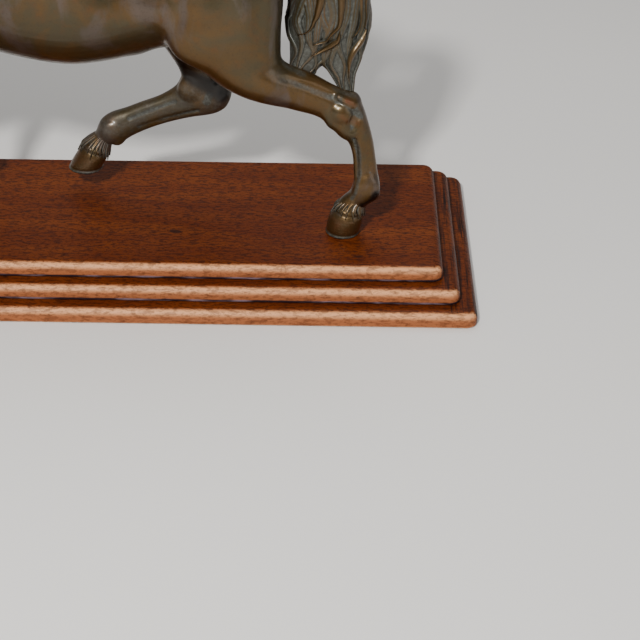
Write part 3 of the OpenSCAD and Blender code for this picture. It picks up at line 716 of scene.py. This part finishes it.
class Strands:
    """Tubes that end up as one mesh, each point with how recessed and how rubbed it is."""

    def __init__(self):
        self.points, self.faces, self.groove, self.rub, self.count = [], [], [], [], 0

    def tube(self, rings, groove, rub):
        """A closed tube through rings of points, with its ends drawn to a point."""
        m, n = rings.shape[:2]
        k, i = np.meshgrid(np.arange(m - 1), np.arange(n), indexing="ij")
        one, two = (k * n + i).ravel() + self.count, (k * n + (i + 1) % n).ravel() + self.count
        self.faces += np.stack([one, two, two + n, one + n], axis=1).tolist()
        tips = [rings[0].mean(0), rings[-1].mean(0)]
        top, first, last = self.count + m * n, self.count, self.count + (m - 1) * n
        self.faces += [[top, first + (j + 1) % n, first + j] for j in range(n)]
        self.faces += [[top + 1, last + j, last + (j + 1) % n] for j in range(n)]
        self.points.append(np.vstack([rings.reshape(-1, 3), tips]))
        self.groove.append(np.append(groove.ravel(), [1, 1]))
        self.rub.append(np.append(rub.ravel(), [0, 0]))
        self.count += m * n + 2

    def mesh(self, name):
        mesh = bpy.data.meshes.new(name)
        mesh.from_pydata(place(np.vstack(self.points)).tolist(), [], self.faces)
        mesh.polygons.foreach_set("use_smooth", [True] * len(mesh.polygons))
        set_patina_and_shade(mesh, np.concatenate(self.groove), np.concatenate(self.rub))
        bm = bmesh.new()
        bm.from_mesh(mesh)
        bmesh.ops.recalc_face_normals(bm, faces=bm.faces)
        bm.to_mesh(mesh)
        bm.free()
        return mesh


def curve(points, count):
    """count points along a smooth curve through the given ones, evenly spaced."""
    p = np.array(points, float)
    for _ in range(4):
        p = smooth_stations(p)
    along = np.append(0, np.cumsum(np.linalg.norm(np.diff(p, axis=0), axis=1)))
    at = np.linspace(0, along[-1], count)
    return np.stack([np.interp(at, along, p[:, k]) for k in range(p.shape[1])], axis=1)


def unit(v):
    return v / np.maximum(np.linalg.norm(v, axis=-1, keepdims=True), 1e-9)


LOCK_SIDES = 22
LOCK_TIP = 0.075  # how wide a lock's tip is, as a share of its widest


def lay_lock(strands, path, up, width, depth, ribs, raised, twist=0.0):
    """A lock of hair along a path, flat against the surface whose outward direction is up."""
    m = len(path)
    s = np.linspace(0, 1, m)
    swell = rise(s, -0.1, 0.3) * (1 - (1 - LOCK_TIP) * rise(s, 0.45, 1.04))
    ahead = unit(np.gradient(path, axis=0))
    across = unit(np.cross(ahead, up))
    up = unit(np.cross(across, ahead))
    a = np.linspace(0, 2 * math.pi, LOCK_SIDES, endpoint=False)[None, :]
    side, top = np.cos(a), np.sin(a)
    comb = np.cos(ribs * math.pi * side + twist * s[:, None] * 6)  # 1 on the ribs, -1 between them
    crest = np.maximum(top, 0)
    grow = 1 + 0.16 * comb * crest
    w, d = (width / 2 * swell)[:, None], (depth * (0.45 + 0.55 * swell))[:, None]
    rings = (path[:, None] + across[:, None] * (w * side * (1 + 0.05 * comb))[..., None]
             + up[:, None] * (d * top * grow)[..., None])
    groove = (0.55 - 0.6 * comb) * crest * max(1 - 1.5 * raised, 0)
    groove = groove + 1.2 * rise(np.abs(side), 0.55 + 0.4 * raised, 1)
    groove = np.clip(groove + (top < 0), 0, 1)
    rub = raised * rise(crest, 0.1, 0.7) * (0.85 + 0.15 * comb)
    strands.tube(rings, groove, rub)


def hang(strands, clay, guide, width, depth, ribs=3, raised=0.0, lift=0.3, count=26, twist=0.0):
    """A lock whose guide points are drawn onto the clay."""
    path, up = clay.snap(curve(guide, count), lift * depth)
    lay_lock(strands, path, up, width, depth, ribs, raised, twist=twist)


def tail_point(station, chord, side):
    """A point on a ring of the tail: chord goes from 0 on its inner edge to 1 on its outer edge."""
    x0, z0, x1, z1, half, y = station
    bulge = math.sqrt(max(1 - (2 * chord - 1) ** 2, 0.02))
    return [x0 + (x1 - x0) * chord, y + side * half * bulge, z0 + (z1 - z0) * chord]


TAIL_SHARES = ((INNER_LOCK, 0.0, 0.52), (OUTER_LOCK, 0.46, 1.0))  # which chords feed each lower lock
BROAD_LOCKS = 5  # on each side of each lower lock


def tail_hair(clay):
    rng = np.random.default_rng(11)
    strands = Strands()
    for side in (NEAR, FAR):
        for lock, low, high in TAIL_SHARES:
            for i in range(BROAD_LOCKS):
                f = (i + 0.5) / BROAD_LOCKS
                sway = rng.uniform(-0.05, 0.05, 12)
                guide = [tail_point(s, np.clip(low + (high - low) * f + sway[k], 0.02, 0.98), side)
                         for k, s in enumerate(TAIL[1:8])]
                guide += [tail_point(s, np.clip(f + sway[k + 7] * 2, 0.04, 0.96), side)
                          for k, s in enumerate(lock[1:])]
                hang(strands, clay, guide, rng.uniform(6.4, 8), rng.uniform(0.9, 1.3), ribs=4, count=44,
                     raised=0.1, twist=rng.uniform(-0.4, 0.4))
        raised_strands(strands, clay, side, rng)
    for w in (-4.5, -1.5, 1.5, 4.5):  # the locks along its outer edge
        guide = [[s[2] + rng.uniform(-0.5, 0.5), s[5] + w + rng.uniform(-0.6, 0.6), s[3]]
                 for s in TAIL[1:8]]
        guide += [[s[2], s[5] + 0.6 * w, s[3]] for s in OUTER_LOCK[1:]]
        hang(strands, clay, guide, 5, 1, count=44, raised=0.15, lift=0.1)
    return strands


# The tail's raised strands: the chord they follow from which station, then their own x and z, and the width.
RAISED = [
    (0.36, 3, [(124.1, 122.8), (122.8, 116.7), (120.9, 111.2), (117.8, 106.6), (113.2, 104.7)], 5.6),
    (0.60, 3, [(133.0, 122.9), (132.8, 116.4), (131.9, 109.3), (125.7, 103.9), (119.8, 100.5)], 5.0),
    (0.62, 8, [(132.6, 107.6), (131.4, 102.6), (126.8, 98.6), (119.0, 94.8)], 3.6),
    (0.86, 2, [(142.5, 123.0), (142.7, 114.7), (141.5, 107.9), (138.2, 104.2)], 4.6),
    (0.98, 2, [(147.0, 123.1), (146.2, 114.7), (145.2, 108.0)], 3.4),
    (0.95, 8, [(146.2, 107.6), (144.6, 102.6), (140.6, 98.4), (138.0, 92.5), (138.6, 84.5)], 4.0)]

TAIL_MIDDLE = ((75, 85, 95, 105, 120), (-19.4, -15, -10.5, -7.5, -5.6))  # heights, and its middle's y there


def raised_strands(strands, clay, side, rng):
    for chord, first, line, width in RAISED:
        guide = [tail_point(s, chord, side) for s in TAIL[first:6]]
        shift = 0 if side == NEAR else rng.uniform(-1.2, 1.2)
        guide += [[x + shift, np.interp(z, *TAIL_MIDDLE) + side * 9, z] for x, z in line]
        hang(strands, clay, guide, width, 1.9, ribs=1, count=44, raised=0.6, lift=0.6)


def mane_hair(clay):
    """Locks that leave the crest and fall on both sides of the neck, swept back, in two layers."""
    rng = np.random.default_rng(5)
    strands = Strands()
    crest = curve([(s[0], s[5], s[1]) for s in MANE], 60)
    for side, number, length in ((NEAR, 17, 1.0), (FAR, 14, 0.72)):
        for layer in (0, 1):
            for i in range(number):
                t = 0.08 + 0.92 * (i + 0.5 * layer + rng.uniform(0.2, 0.6)) / number
                x, y, z = crest[min(int(t * 59), 59)] + np.array([-1.5, 0, -2.0])
                size = length * rng.uniform(0.8, 1.15) * (0.5 + 0.7 * math.sin(math.pi * min(t + 0.15, 1)))
                lean = rng.uniform(-2.5, 2.5)
                line = [(0, 0), (1.5, -9), (7.5 + lean, -20), (11 + 1.4 * lean, -31), (8 + lean, -41)]
                spread = 2.6 + 3.4 * (1 - min(t, 1)) ** 2  # the shoulder is wider than the neck
                widest = 15 + 4 * (spread - 2.6)
                guide = [[x + dx * size, y + side * min(4 + spread * k, widest), z + dz * size]
                         for k, (dx, dz) in enumerate(line)]
                hang(strands, clay, guide, rng.uniform(4.6, 6.4), rng.uniform(1.3, 1.9),
                     raised=0.35 + 0.4 * layer, lift=0.35 + 0.5 * layer, twist=rng.uniform(-0.4, 0.4))
    for i in range(22):  # the short hair that stands along the crest
        x, y, z = crest[int(i / 21 * 59)]
        back = rng.uniform(5, 8)
        guide = [[x - 4, y - 1.5, z - 4], [x - 1, y - 0.5, z + 0.2], [x + back * 0.5, y + 0.4, z - 1.4],
                 [x + back, y + 1.4, z - 5.2]]
        hang(strands, clay, guide, rng.uniform(4.4, 5.6), 1.6, ribs=2, count=16, raised=0.5, lift=0.2)
    return strands


# The forelock's locks: y at the poll, y on the brow, and how far down the face they reach.
FORELOCK = [(-3.5, -5.4, 21), (0, -1.6, 27), (3.4, 2.6, 24), (-1.8, -3.6, 24), (1.8, 5, 18)]


def forelock(clay):
    rng = np.random.default_rng(9)
    strands = Strands()
    for i, (y0, y1, reach) in enumerate(FORELOCK):
        guide = [on_head(-5, 12, y0 * 0.7), on_head(0.25 * reach, 17, y0), on_head(0.6 * reach, 18, y1),
                 on_head(reach, 17, y1 * 0.7)]
        hang(strands, clay, guide, rng.uniform(3.6, 4.6), 1.5, ribs=2, count=22, raised=0.5,
             lift=0.3 + 0.08 * i)
    return strands


def eyelids(clay):
    strands = Strands()
    upper = [(12.4, 6.2), (14.4, 9.6), (18.2, 11), (22.2, 9.8), (24.4, 6.6)]
    lower = [(12.4, 6.2), (15.4, 4.2), (19.4, 3.6), (24.4, 6.6)]
    for side in (NEAR, FAR):
        for line, width, depth in ((upper, 2.4, 1.1), (lower, 1.8, 0.8)):
            guide = [on_head(down, front, 12.5 * side) for down, front in line]
            hang(strands, clay, guide, width, depth, ribs=1, raised=0.3, lift=0.2)
    return strands


# ---------------- hooves

# Each hoof from the pastern to the sole, with the same stations as the legs.
HOOVES = {
    "near_hind_hoof": stations_at(
        -HIND, (137, 18.6, 146.6, 16, 4.6), (133.2, 16.2, 145.6, 13.6, 6.3), (130.8, 13, 146.4, 10.8, 7.7),
        (128.9, 9.4, 146.8, 8.2, 8.7), (127.5, 3.4, 145.8, 2.8, 9), (127.4, 0, 144.8, 0, 8.7)),
    "far_hind_hoof": stations_at(
        HIND, (3.8, 31.6, 12.4, 26.4, 4.6), (-0.8, 28.4, 11.4, 23.4, 6.4), (-3.2, 25.2, 11.5, 20.4, 7.8),
        (-5.2, 22, 11, 18.2, 8.5), (-8.8, 16.2, 9.4, 15.4, 9), (-10, 13, 8.6, 13, 8.7)),
    "near_fore_hoof": stations_at(
        -FORE, (-105, 49.8, -94.4, 53.2, 4.6), (-103.8, 45.6, -91.2, 51.6, 6.4),
        (-102.4, 42.4, -89.2, 50.8, 7.8), (-100.8, 39.8, -87.2, 50, 8.5), (-96.6, 33.8, -84.2, 48, 9),
        (-94.5, 31.6, -83, 46.6, 8.7)),
    "far_fore_hoof": stations_at(
        FORE, (-68.6, 18.2, -57.6, 15, 4.6), (-70.2, 15.4, -57.8, 12.8, 6.4),
        (-71.8, 12.4, -57.4, 10.4, 7.8), (-73.2, 9.4, -57, 8, 8.5), (-75.4, 3.4, -57.4, 2.8, 9),
        (-76, 0, -58, 0, 8.7))}
HOOF_SIDES = 56
HOOF_RINGS = 44  # from the pastern to the rim
TUFTS = 30  # round each coronet


def hoof_rings(stations):
    """Rings from inside the pastern down the wall, round the rim, and over the hollow sole with its frog."""
    st = curve(stations, HOOF_RINGS)
    a = np.linspace(0, 2 * math.pi, HOOF_SIDES, endpoint=False)
    ca, sa = np.cos(a), np.sin(a)
    heel = 1 - 0.1 * rise(-ca, 0.2, 1)  # the heel is a little flatter than the toe
    middle = np.stack([(st[:, 0] + st[:, 2]) / 2, st[:, 5], (st[:, 1] + st[:, 3]) / 2], axis=1)
    half = np.stack([(st[:, 2] - st[:, 0]) / 2, 0 * st[:, 0], (st[:, 3] - st[:, 1]) / 2], axis=1)
    t = np.linspace(0, 1, len(st))
    swell = 0.5 * np.exp(-((t - 0.27) / 0.055) ** 2) - 0.15 * np.exp(-((t - 0.36) / 0.03) ** 2)
    swell += -0.25 * np.exp(-((t - 0.92) / 0.016) ** 2) - 0.35 * rise(t, 0.98, 1)
    swell += 0.3 * rise(t, 0.93, 0.95)
    swell += 0.05 * np.sin(t * 95) * rise(t, 0.4, 0.5) * (1 - rise(t, 0.8, 0.86))
    rings, groove, rub = [], [], []
    for k in range(len(st)):
        size = np.linalg.norm(half[k])
        grow = (size + swell[k]) / size
        ring = middle[k] - half[k] * (grow * ca * heel)[:, None]
        ring[:, 1] += (st[k, 4] + swell[k]) * sa
        rings.append(ring)
        # painted highlight: the rim and the edge below it greyed pale, standing in for the light line along
        # the hoof's lower edge
        groove.append(np.full(HOOF_SIDES, 0.8 if t[k] > 0.95 else float(np.clip(-1.6 * swell[k], 0, 1))))
        rub.append(np.full(HOOF_SIDES, 0.95 * float(rise(t[k], 0.3, 0.5) * (1 - rise(t[k], 0.88, 0.92)))))
    up = unit(middle[0] - middle[-1])
    centre = middle[-1]
    for share, depth in ((0.93, 0.0), (0.84, 0.05), (0.8, 0.7), (0.6, 1.0), (0.4, 1.1), (0.2, 1.1)):
        ring = centre + (rings[HOOF_RINGS - 1] - centre) * share
        frog = rise(-ca, 0.1, 0.6) * np.exp(-((sa / 0.42) ** 2)) * (share < 0.82)
        rings.append(ring + up * (depth * (1 - 0.85 * frog))[:, None])
        groove.append(np.full(HOOF_SIDES, 0.2 if share > 0.82 else 0.9) * (1 - 0.7 * frog))
        rub.append(np.zeros(HOOF_SIDES))
    return np.array(rings), np.array(groove), np.array(rub)


def fetlock_hair(strands, stations, rng):
    """Carved hair that falls from the pastern over the coronet and sweeps back to the heel."""
    st = np.array(stations)
    centre = np.array([(st[1, 0] + st[1, 2]) / 2, st[1, 5], (st[1, 1] + st[1, 3]) / 2])
    for i in range(TUFTS):
        turn = math.radians(360 / TUFTS * i + rng.uniform(-4, 4))
        bend = 0.4 * math.sin(turn) + rng.uniform(-0.2, 0.2)
        tip = rng.uniform(1.6, 2.6)
        guide = []
        for k, (share, grow) in enumerate(((-0.9, -0.1), (-0.2, 0.3), (0.6, 0.55), (1.3, 0.85), (tip, 0.45))):
            low = min(int(share), 1)
            ring = st[low] + (st[low + 1] - st[low]) * (share - low)
            ring[4] = max(ring[4], st[0, 4])
            angle = turn + bend * k / 4
            half = np.array([ring[2] - ring[0], ring[3] - ring[1]]) / 2
            half *= 1 + grow / np.linalg.norm(half)
            guide.append([(ring[0] + ring[2]) / 2 - math.cos(angle) * half[0],
                          ring[5] + math.sin(angle) * (ring[4] + grow),
                          (ring[1] + ring[3]) / 2 - math.cos(angle) * half[1]])
        path = curve(guide, 16)
        lay_lock(strands, path, unit(path - centre), rng.uniform(1.4, 2.2), rng.uniform(0.5, 0.7), 1, 0.1)


# ---------------- materials

def srgb(r, g, b):
    """A colour from 0-255 screen values."""
    return tuple(((c / 255 + 0.055) / 1.055) ** 2.4 if c > 10 else c / 3295 for c in (r, g, b)) + (1.0,)


class Nodes:
    """Short names for building one node material."""

    def __init__(self, name):
        self.material = bpy.data.materials.new(name)
        self.material.use_nodes = True
        self.tree = self.material.node_tree
        self.shader = self.tree.nodes["Principled BSDF"]
        self.at = self.node("ShaderNodeTexCoord").outputs["Object"]

    def node(self, kind, inputs=(), **settings):
        n = self.tree.nodes.new(kind)
        for key, value in settings.items():
            setattr(n, key, value)
        for key, value in dict(inputs).items():
            self.feed(n.inputs[key], value)
        return n

    def feed(self, socket, value):
        if isinstance(value, bpy.types.NodeSocket):
            self.tree.links.new(value, socket)
        else:
            socket.default_value = value

    def stretched(self, x, y, z):
        """The object's coordinates in metres, times a factor for each axis."""
        return self.node("ShaderNodeMapping", {"Vector": self.at, "Scale": (x, y, z)}).outputs[0]

    def noise(self, scale, detail=4, rough=0.55, at=None, bend=0.0):
        inputs = {"Vector": at or self.at, "Scale": scale, "Detail": detail, "Roughness": rough,
                  "Distortion": bend}
        return self.node("ShaderNodeTexNoise", inputs).outputs[0]

    def attribute(self, name):
        return self.node("ShaderNodeAttribute", attribute_name=name).outputs["Fac"]

    def calculate(self, kind, a, b=0.0):
        n = self.node("ShaderNodeMath", operation=kind)
        self.feed(n.inputs[0], a)
        self.feed(n.inputs[1], b)
        return n.outputs[0]

    def times(self, a, b):
        return self.calculate("MULTIPLY", a, b)

    def plus(self, a, b):
        return self.calculate("ADD", a, b)

    def minus(self, a, b):
        return self.calculate("SUBTRACT", a, b)

    def size_of(self, a):
        return self.calculate("ABSOLUTE", a)

    def between(self, value, low, high):
        """0 below low and 1 above high."""
        n = self.node("ShaderNodeMapRange", {"Value": value, "From Min": low, "From Max": high},
                      interpolation_type="SMOOTHSTEP")
        return n.outputs[0]

    def mix(self, share, a, b):
        n = self.node("ShaderNodeMix", data_type="RGBA")
        self.feed(n.inputs[0], share)
        self.feed(n.inputs[6], a)
        self.feed(n.inputs[7], b)
        return n.outputs[2]

    def bump(self, height, distance, strength=1.0, normal=None):
        n = self.node("ShaderNodeBump", {"Height": height, "Distance": distance, "Strength": strength})
        if normal is not None:
            self.feed(n.inputs["Normal"], normal)
        return n.outputs[0]

    def finish(self, color, rough, normal, **constants):
        self.feed(self.shader.inputs["Base Color"], color)
        self.feed(self.shader.inputs["Roughness"], rough)
        self.feed(self.shader.inputs["Normal"], normal)
        for key, value in constants.items():
            self.shader.inputs[key.replace("_", " ")].default_value = value
        return self.material


def make_bronze():
    """Waxed brown patina with olive and golden patches, grey-green in recesses, red-brown where rubbed, with
    painted grey-violet sheen bands and near-black painted shade.
    """
    n = Nodes("patinated_bronze")
    groove, rub, painted_shade = n.attribute("groove"), n.attribute("rub"), n.attribute("painted_shade")
    patches = n.noise(26, 5, 0.6, bend=0.6)
    mottle = n.noise(150, 6, 0.65)
    grain = n.noise(900, 3, 0.6)
    color = n.mix(n.between(patches, 0.4, 0.58), srgb(84, 61, 28), srgb(68, 59, 38))
    color = n.mix(n.times(n.between(mottle, 0.5, 0.75), 0.6), color, srgb(92, 58, 26))
    # painted reflection: broad grey-violet sheen bands painted into the colour
    painted_sheen = n.between(n.noise(1, 4, 0.55, at=n.stretched(62, 62, 20), bend=0.6), 0.5, 0.64)
    color = n.mix(n.times(painted_sheen, 0.75), color, srgb(84, 74, 68))
    color = n.mix(n.times(n.between(grain, 0.5, 0.72), 0.3), color, srgb(48, 38, 26))
    uneven = n.plus(groove, n.times(n.minus(mottle, 0.5), 0.9))
    verdigris = n.mix(n.between(n.noise(700, 4, 0.7), 0.4, 0.7), srgb(50, 51, 46), srgb(80, 84, 79))
    color = n.mix(n.times(n.between(uneven, 0.2, 0.8), 0.88), color, verdigris)
    worn = n.plus(rub, n.times(n.minus(mottle, 0.5), 0.7))
    color = n.mix(n.times(n.between(worn, 0.25, 0.65), 0.85), color, srgb(80, 58, 28))
    color = n.mix(n.times(n.between(worn, 0.85, 1.35), 0.5), color, srgb(124, 58, 28))
    # near-black painted shade and painted shadow, from the marks' shade attribute
    color = n.mix(n.times(n.between(painted_shade, 0.0, 1.0), 0.92), color, srgb(16, 14, 13))
    rough = n.plus(n.times(n.between(uneven, 0.1, 0.9), 0.2), n.times(mottle, 0.3))
    rough = n.plus(rough, 0.2)
    normal = n.bump(n.noise(1400, 3, 0.6), 0.00006, 0.5)
    normal = n.bump(n.noise(240, 4, 0.6), 0.0002, 0.45, normal)
    n.feed(n.shader.inputs["Metallic"], n.minus(0.72, n.times(groove, 0.45)))
    return n.finish(color, rough, normal, Coat_Weight=0.25, Coat_Roughness=0.18)


STEP_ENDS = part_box("base_top_board")[1].x  # the steps' ledges start here


def make_wood():
    """Polished mahogany with fine dark pores along X, and black wax where each board meets the one below,
    with painted light on the front faces and a painted highlight along the beads.
    """
    n = Nodes("polished_mahogany")
    bands = n.noise(1, 5, 0.6, at=n.stretched(9, 70, 70), bend=0.8)
    pores = n.noise(1, 4, 0.75, at=n.stretched(420, 1000, 1000))
    flecks = n.noise(1, 3, 0.6, at=n.stretched(190, 620, 620))
    normal = n.node("ShaderNodeTexCoord").outputs["Normal"]
    facing = n.node("ShaderNodeSeparateXYZ", {"Vector": normal}).outputs
    end = n.between(n.size_of(facing[0]), 0.55, 0.9)  # the boards' end grain
    side = n.between(n.size_of(facing[1]), 0.2, 0.7)  # the moulded edges' front and back faces, painted paler as painted light falling on them from the front
    color = n.mix(n.between(bands, 0.35, 0.68), srgb(92, 38, 8), srgb(110, 52, 14))
    color = n.mix(n.times(n.between(n.noise(14, 4, 0.6), 0.45, 0.7), 0.4), color, srgb(86, 34, 8))
    # painted light: front and back faces paler than the tops
    color = n.mix(n.times(side, 0.7), color, srgb(160, 98, 62))
    # painted highlight: a light tan band on the rounded upper edge of each step, where the light catches it
    steep = n.size_of(facing[2])
    bead_highlight = n.times(n.between(steep, 0.05, 0.7), n.minus(1.0, n.between(steep, 0.75, 1.0)))
    bead_highlight = n.times(bead_highlight, n.between(n.size_of(facing[1]), 0.1, 0.5))
    color = n.mix(n.times(bead_highlight, 0.9), color, srgb(218, 158, 112))
    dots = n.minus(0.7, n.times(side, 0.3))
    color = n.mix(n.times(n.between(flecks, 0.5, 0.6), dots), color, srgb(54, 20, 8))
    color = n.mix(n.times(n.between(pores, 0.5, 0.62), dots), color, srgb(40, 16, 8))
    knots = n.between(n.noise(1, 1, 0.4, at=n.stretched(70, 110, 110)), 0.75, 0.8)
    color = n.mix(n.times(knots, 0.8), color, srgb(34, 14, 10))
    outward = n.node("ShaderNodeSeparateXYZ", {"Vector": n.at}).outputs[0]
    margin = n.between(n.size_of(outward), STEP_ENDS - 0.0012, STEP_ENDS)
    margin = n.times(n.calculate("MAXIMUM", end, margin), n.minus(1.0, side))
    streaks = n.noise(1, 4, 0.7, at=n.stretched(640, 26, 500))
    color = n.mix(n.times(margin, n.between(streaks, 0.45, 0.66)), color, srgb(26, 14, 12))
    height = n.node("ShaderNodeSeparateXYZ", {"Vector": n.at}).outputs[2]
    within = n.calculate("FRACT", n.calculate("DIVIDE", n.plus(height, 0.00002), BASE_TOP * MM / 3))
    wavy = n.plus(within, n.times(n.minus(n.noise(120, 3), 0.5), 0.1))
    foot = n.minus(1.0, n.between(wavy, 0.17, 0.26))
    upright = n.minus(1.0, n.between(n.size_of(facing[2]), 0.9, 0.98))
    smears = n.between(n.noise(1, 3, 0.6, at=n.stretched(60, 420, 420)), 0.45, 0.7)
    wax = n.mix(smears, srgb(38, 26, 32), srgb(118, 98, 106))
    foot = n.times(foot, n.between(height, 0.003, 0.004))
    color = n.mix(n.times(foot, upright), color, wax)
    rough = n.plus(0.42, n.times(n.between(pores, 0.45, 0.7), 0.2))
    normal = n.bump(pores, -0.00005, 0.6)
    normal = n.bump(n.noise(70, 3), 0.0002, 0.3, normal)
    return n.finish(color, rough, normal, Specular_IOR_Level=0.12)


def make_steel():
    """Zinc-plated steel, brushed, with dull spots."""
    n = Nodes("plated_steel")
    brushed = n.noise(1, 4, 0.7, at=n.stretched(90, 2400, 2400))
    spots = n.noise(320, 5, 0.6)
    color = n.mix(n.between(spots, 0.5, 0.75), srgb(196, 196, 200), srgb(150, 146, 140))
    color = n.mix(n.times(n.between(brushed, 0.4, 0.7), 0.35), color, srgb(120, 120, 124))
    rough = n.plus(0.24, n.times(spots, 0.3))
    return n.finish(color, rough, n.bump(brushed, 0.00003, 0.5), Metallic=1.0)


bronze, wood, steel = make_bronze(), make_wood(), make_steel()

# ---------------- the object

with ThreadPoolExecutor(4) as pool:
    jobs = {name: pool.submit(sculpt, low, high, cell, recipe)
            for name, (_, low, high, cell, _) in CASTINGS.items()}
    jobs["tail"] = pool.submit(sculpt, *TAIL_WINDOW, tail_recipe)
clays = {name: job.result() for name, job in jobs.items()}

for name, (node, low, high, cell, trims) in CASTINGS.items():
    cast(name, clays[name], node, trims, FINISH[name])
cast("tail_core", clays["tail"], "tail_casting", [], FINISH["tail"])

new_piece("tail_locks", tail_hair(clays["tail"]).mesh("tail_locks"), bronze, "bronze")
new_piece("mane", mane_hair(clays["neck"]).mesh("mane"), bronze, "bronze")
new_piece("eyelids", eyelids(clays["head"]).mesh("eyelids"), bronze, "bronze")
new_piece("forelock", forelock(clays["head"]).mesh("forelock"), bronze, "bronze")

curl_random = np.random.default_rng(3)
for name, stations in HOOVES.items():
    hoof, curls = Strands(), Strands()
    hoof.tube(*hoof_rings(stations))
    new_piece(name, hoof.mesh(name), bronze, "bronze")
    fetlock_hair(curls, stations, curl_random)
    name = name.replace("hoof", "curls")
    new_piece(name, curls.mesh(name), bronze, "bronze")

finishes = {
    "base_bottom_board": wood, "base_middle_board": wood, "base_top_board": wood,
    "board_screws": steel, "tenon_pins": bronze, "collar_pins": bronze,
    "hoof_studs": steel, "stud_washers": steel, "stud_nuts": steel}
for node, material in finishes.items():
    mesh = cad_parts[node].data
    for k in range(len(mesh.materials)):
        mesh.materials[k] = material


# ---------------- floor, lights, camera

def add_floor():
    bm = bmesh.new()
    bmesh.ops.create_grid(bm, x_segments=8, y_segments=8, size=3)
    mesh = bpy.data.meshes.new("floor")
    bm.to_mesh(mesh)
    bm.free()
    floor = bpy.data.objects.new("floor", mesh)
    bpy.context.scene.collection.objects.link(floor)
    floor.location.z = -0.0002
    n = Nodes("pale_floor")
    color = n.mix(n.noise(3, 2), srgb(226, 224, 221), srgb(234, 232, 229))
    mesh.materials.append(n.finish(color, 0.7, n.bump(n.noise(400, 2), 0.0001, 0.1)))


def add_lamp(name, at, target, size, watts, color):
    lamp = bpy.data.lights.new(name, "AREA")
    lamp.size, lamp.energy, lamp.color = size, watts, color
    holder = bpy.data.objects.new(name, lamp)
    holder.location = at
    holder.rotation_mode = "QUATERNION"
    holder.rotation_quaternion = (Vector(target) - Vector(at)).to_track_quat("-Z", "Y")
    bpy.context.scene.collection.objects.link(holder)


def add_world(brightness):
    world = bpy.data.worlds.new("studio")
    world.use_nodes = True
    background = world.node_tree.nodes["Background"]
    background.inputs["Color"].default_value = (1.0, 0.99, 0.975, 1.0)
    background.inputs["Strength"].default_value = brightness
    bpy.context.scene.world = world


CAMERA_AT = Vector((0.1322, -0.7425, 0.4204))
CAMERA_LENS = 90
CAMERA_DOWN, CAMERA_YAW, CAMERA_ROLL = 32, -0.598, 0.547  # in degrees


def add_camera():
    """The camera of the reference view, which looks down on the hindquarters from the near side."""
    down, yaw, roll = (math.radians(angle) for angle in (CAMERA_DOWN, CAMERA_YAW, CAMERA_ROLL))
    ahead = Vector((math.sin(yaw) * math.cos(down), math.cos(yaw) * math.cos(down), -math.sin(down)))
    right = Vector((math.cos(yaw), -math.sin(yaw), 0))
    above = right.cross(ahead)
    c, s = math.cos(roll), math.sin(roll)
    right, above = c * right + s * above, c * above - s * right
    camera = bpy.data.objects.new("camera", bpy.data.cameras.new("camera"))
    camera.data.lens = CAMERA_LENS
    camera.data.sensor_width = 36
    turn = Matrix((right, above, -ahead)).transposed()
    camera.matrix_world = Matrix.LocRotScale(CAMERA_AT, turn.to_quaternion(), None)
    bpy.context.scene.collection.objects.link(camera)
    bpy.context.scene.camera = camera


add_floor()
add_lamp("key", (-0.14, -1.0, 0.86), (0.05, 0, 0.08), 0.1, 19, (1.0, 0.985, 0.96))
add_lamp("fill", (1.2, -0.9, 0.6), (0, 0, 0.1), 0.9, 4, (0.95, 0.97, 1.0))
add_lamp("top", (0.1, 0.6, 1.3), (0, 0, 0.1), 0.9, 5, (1.0, 1.0, 1.0))
add_world(0.3)
add_camera()
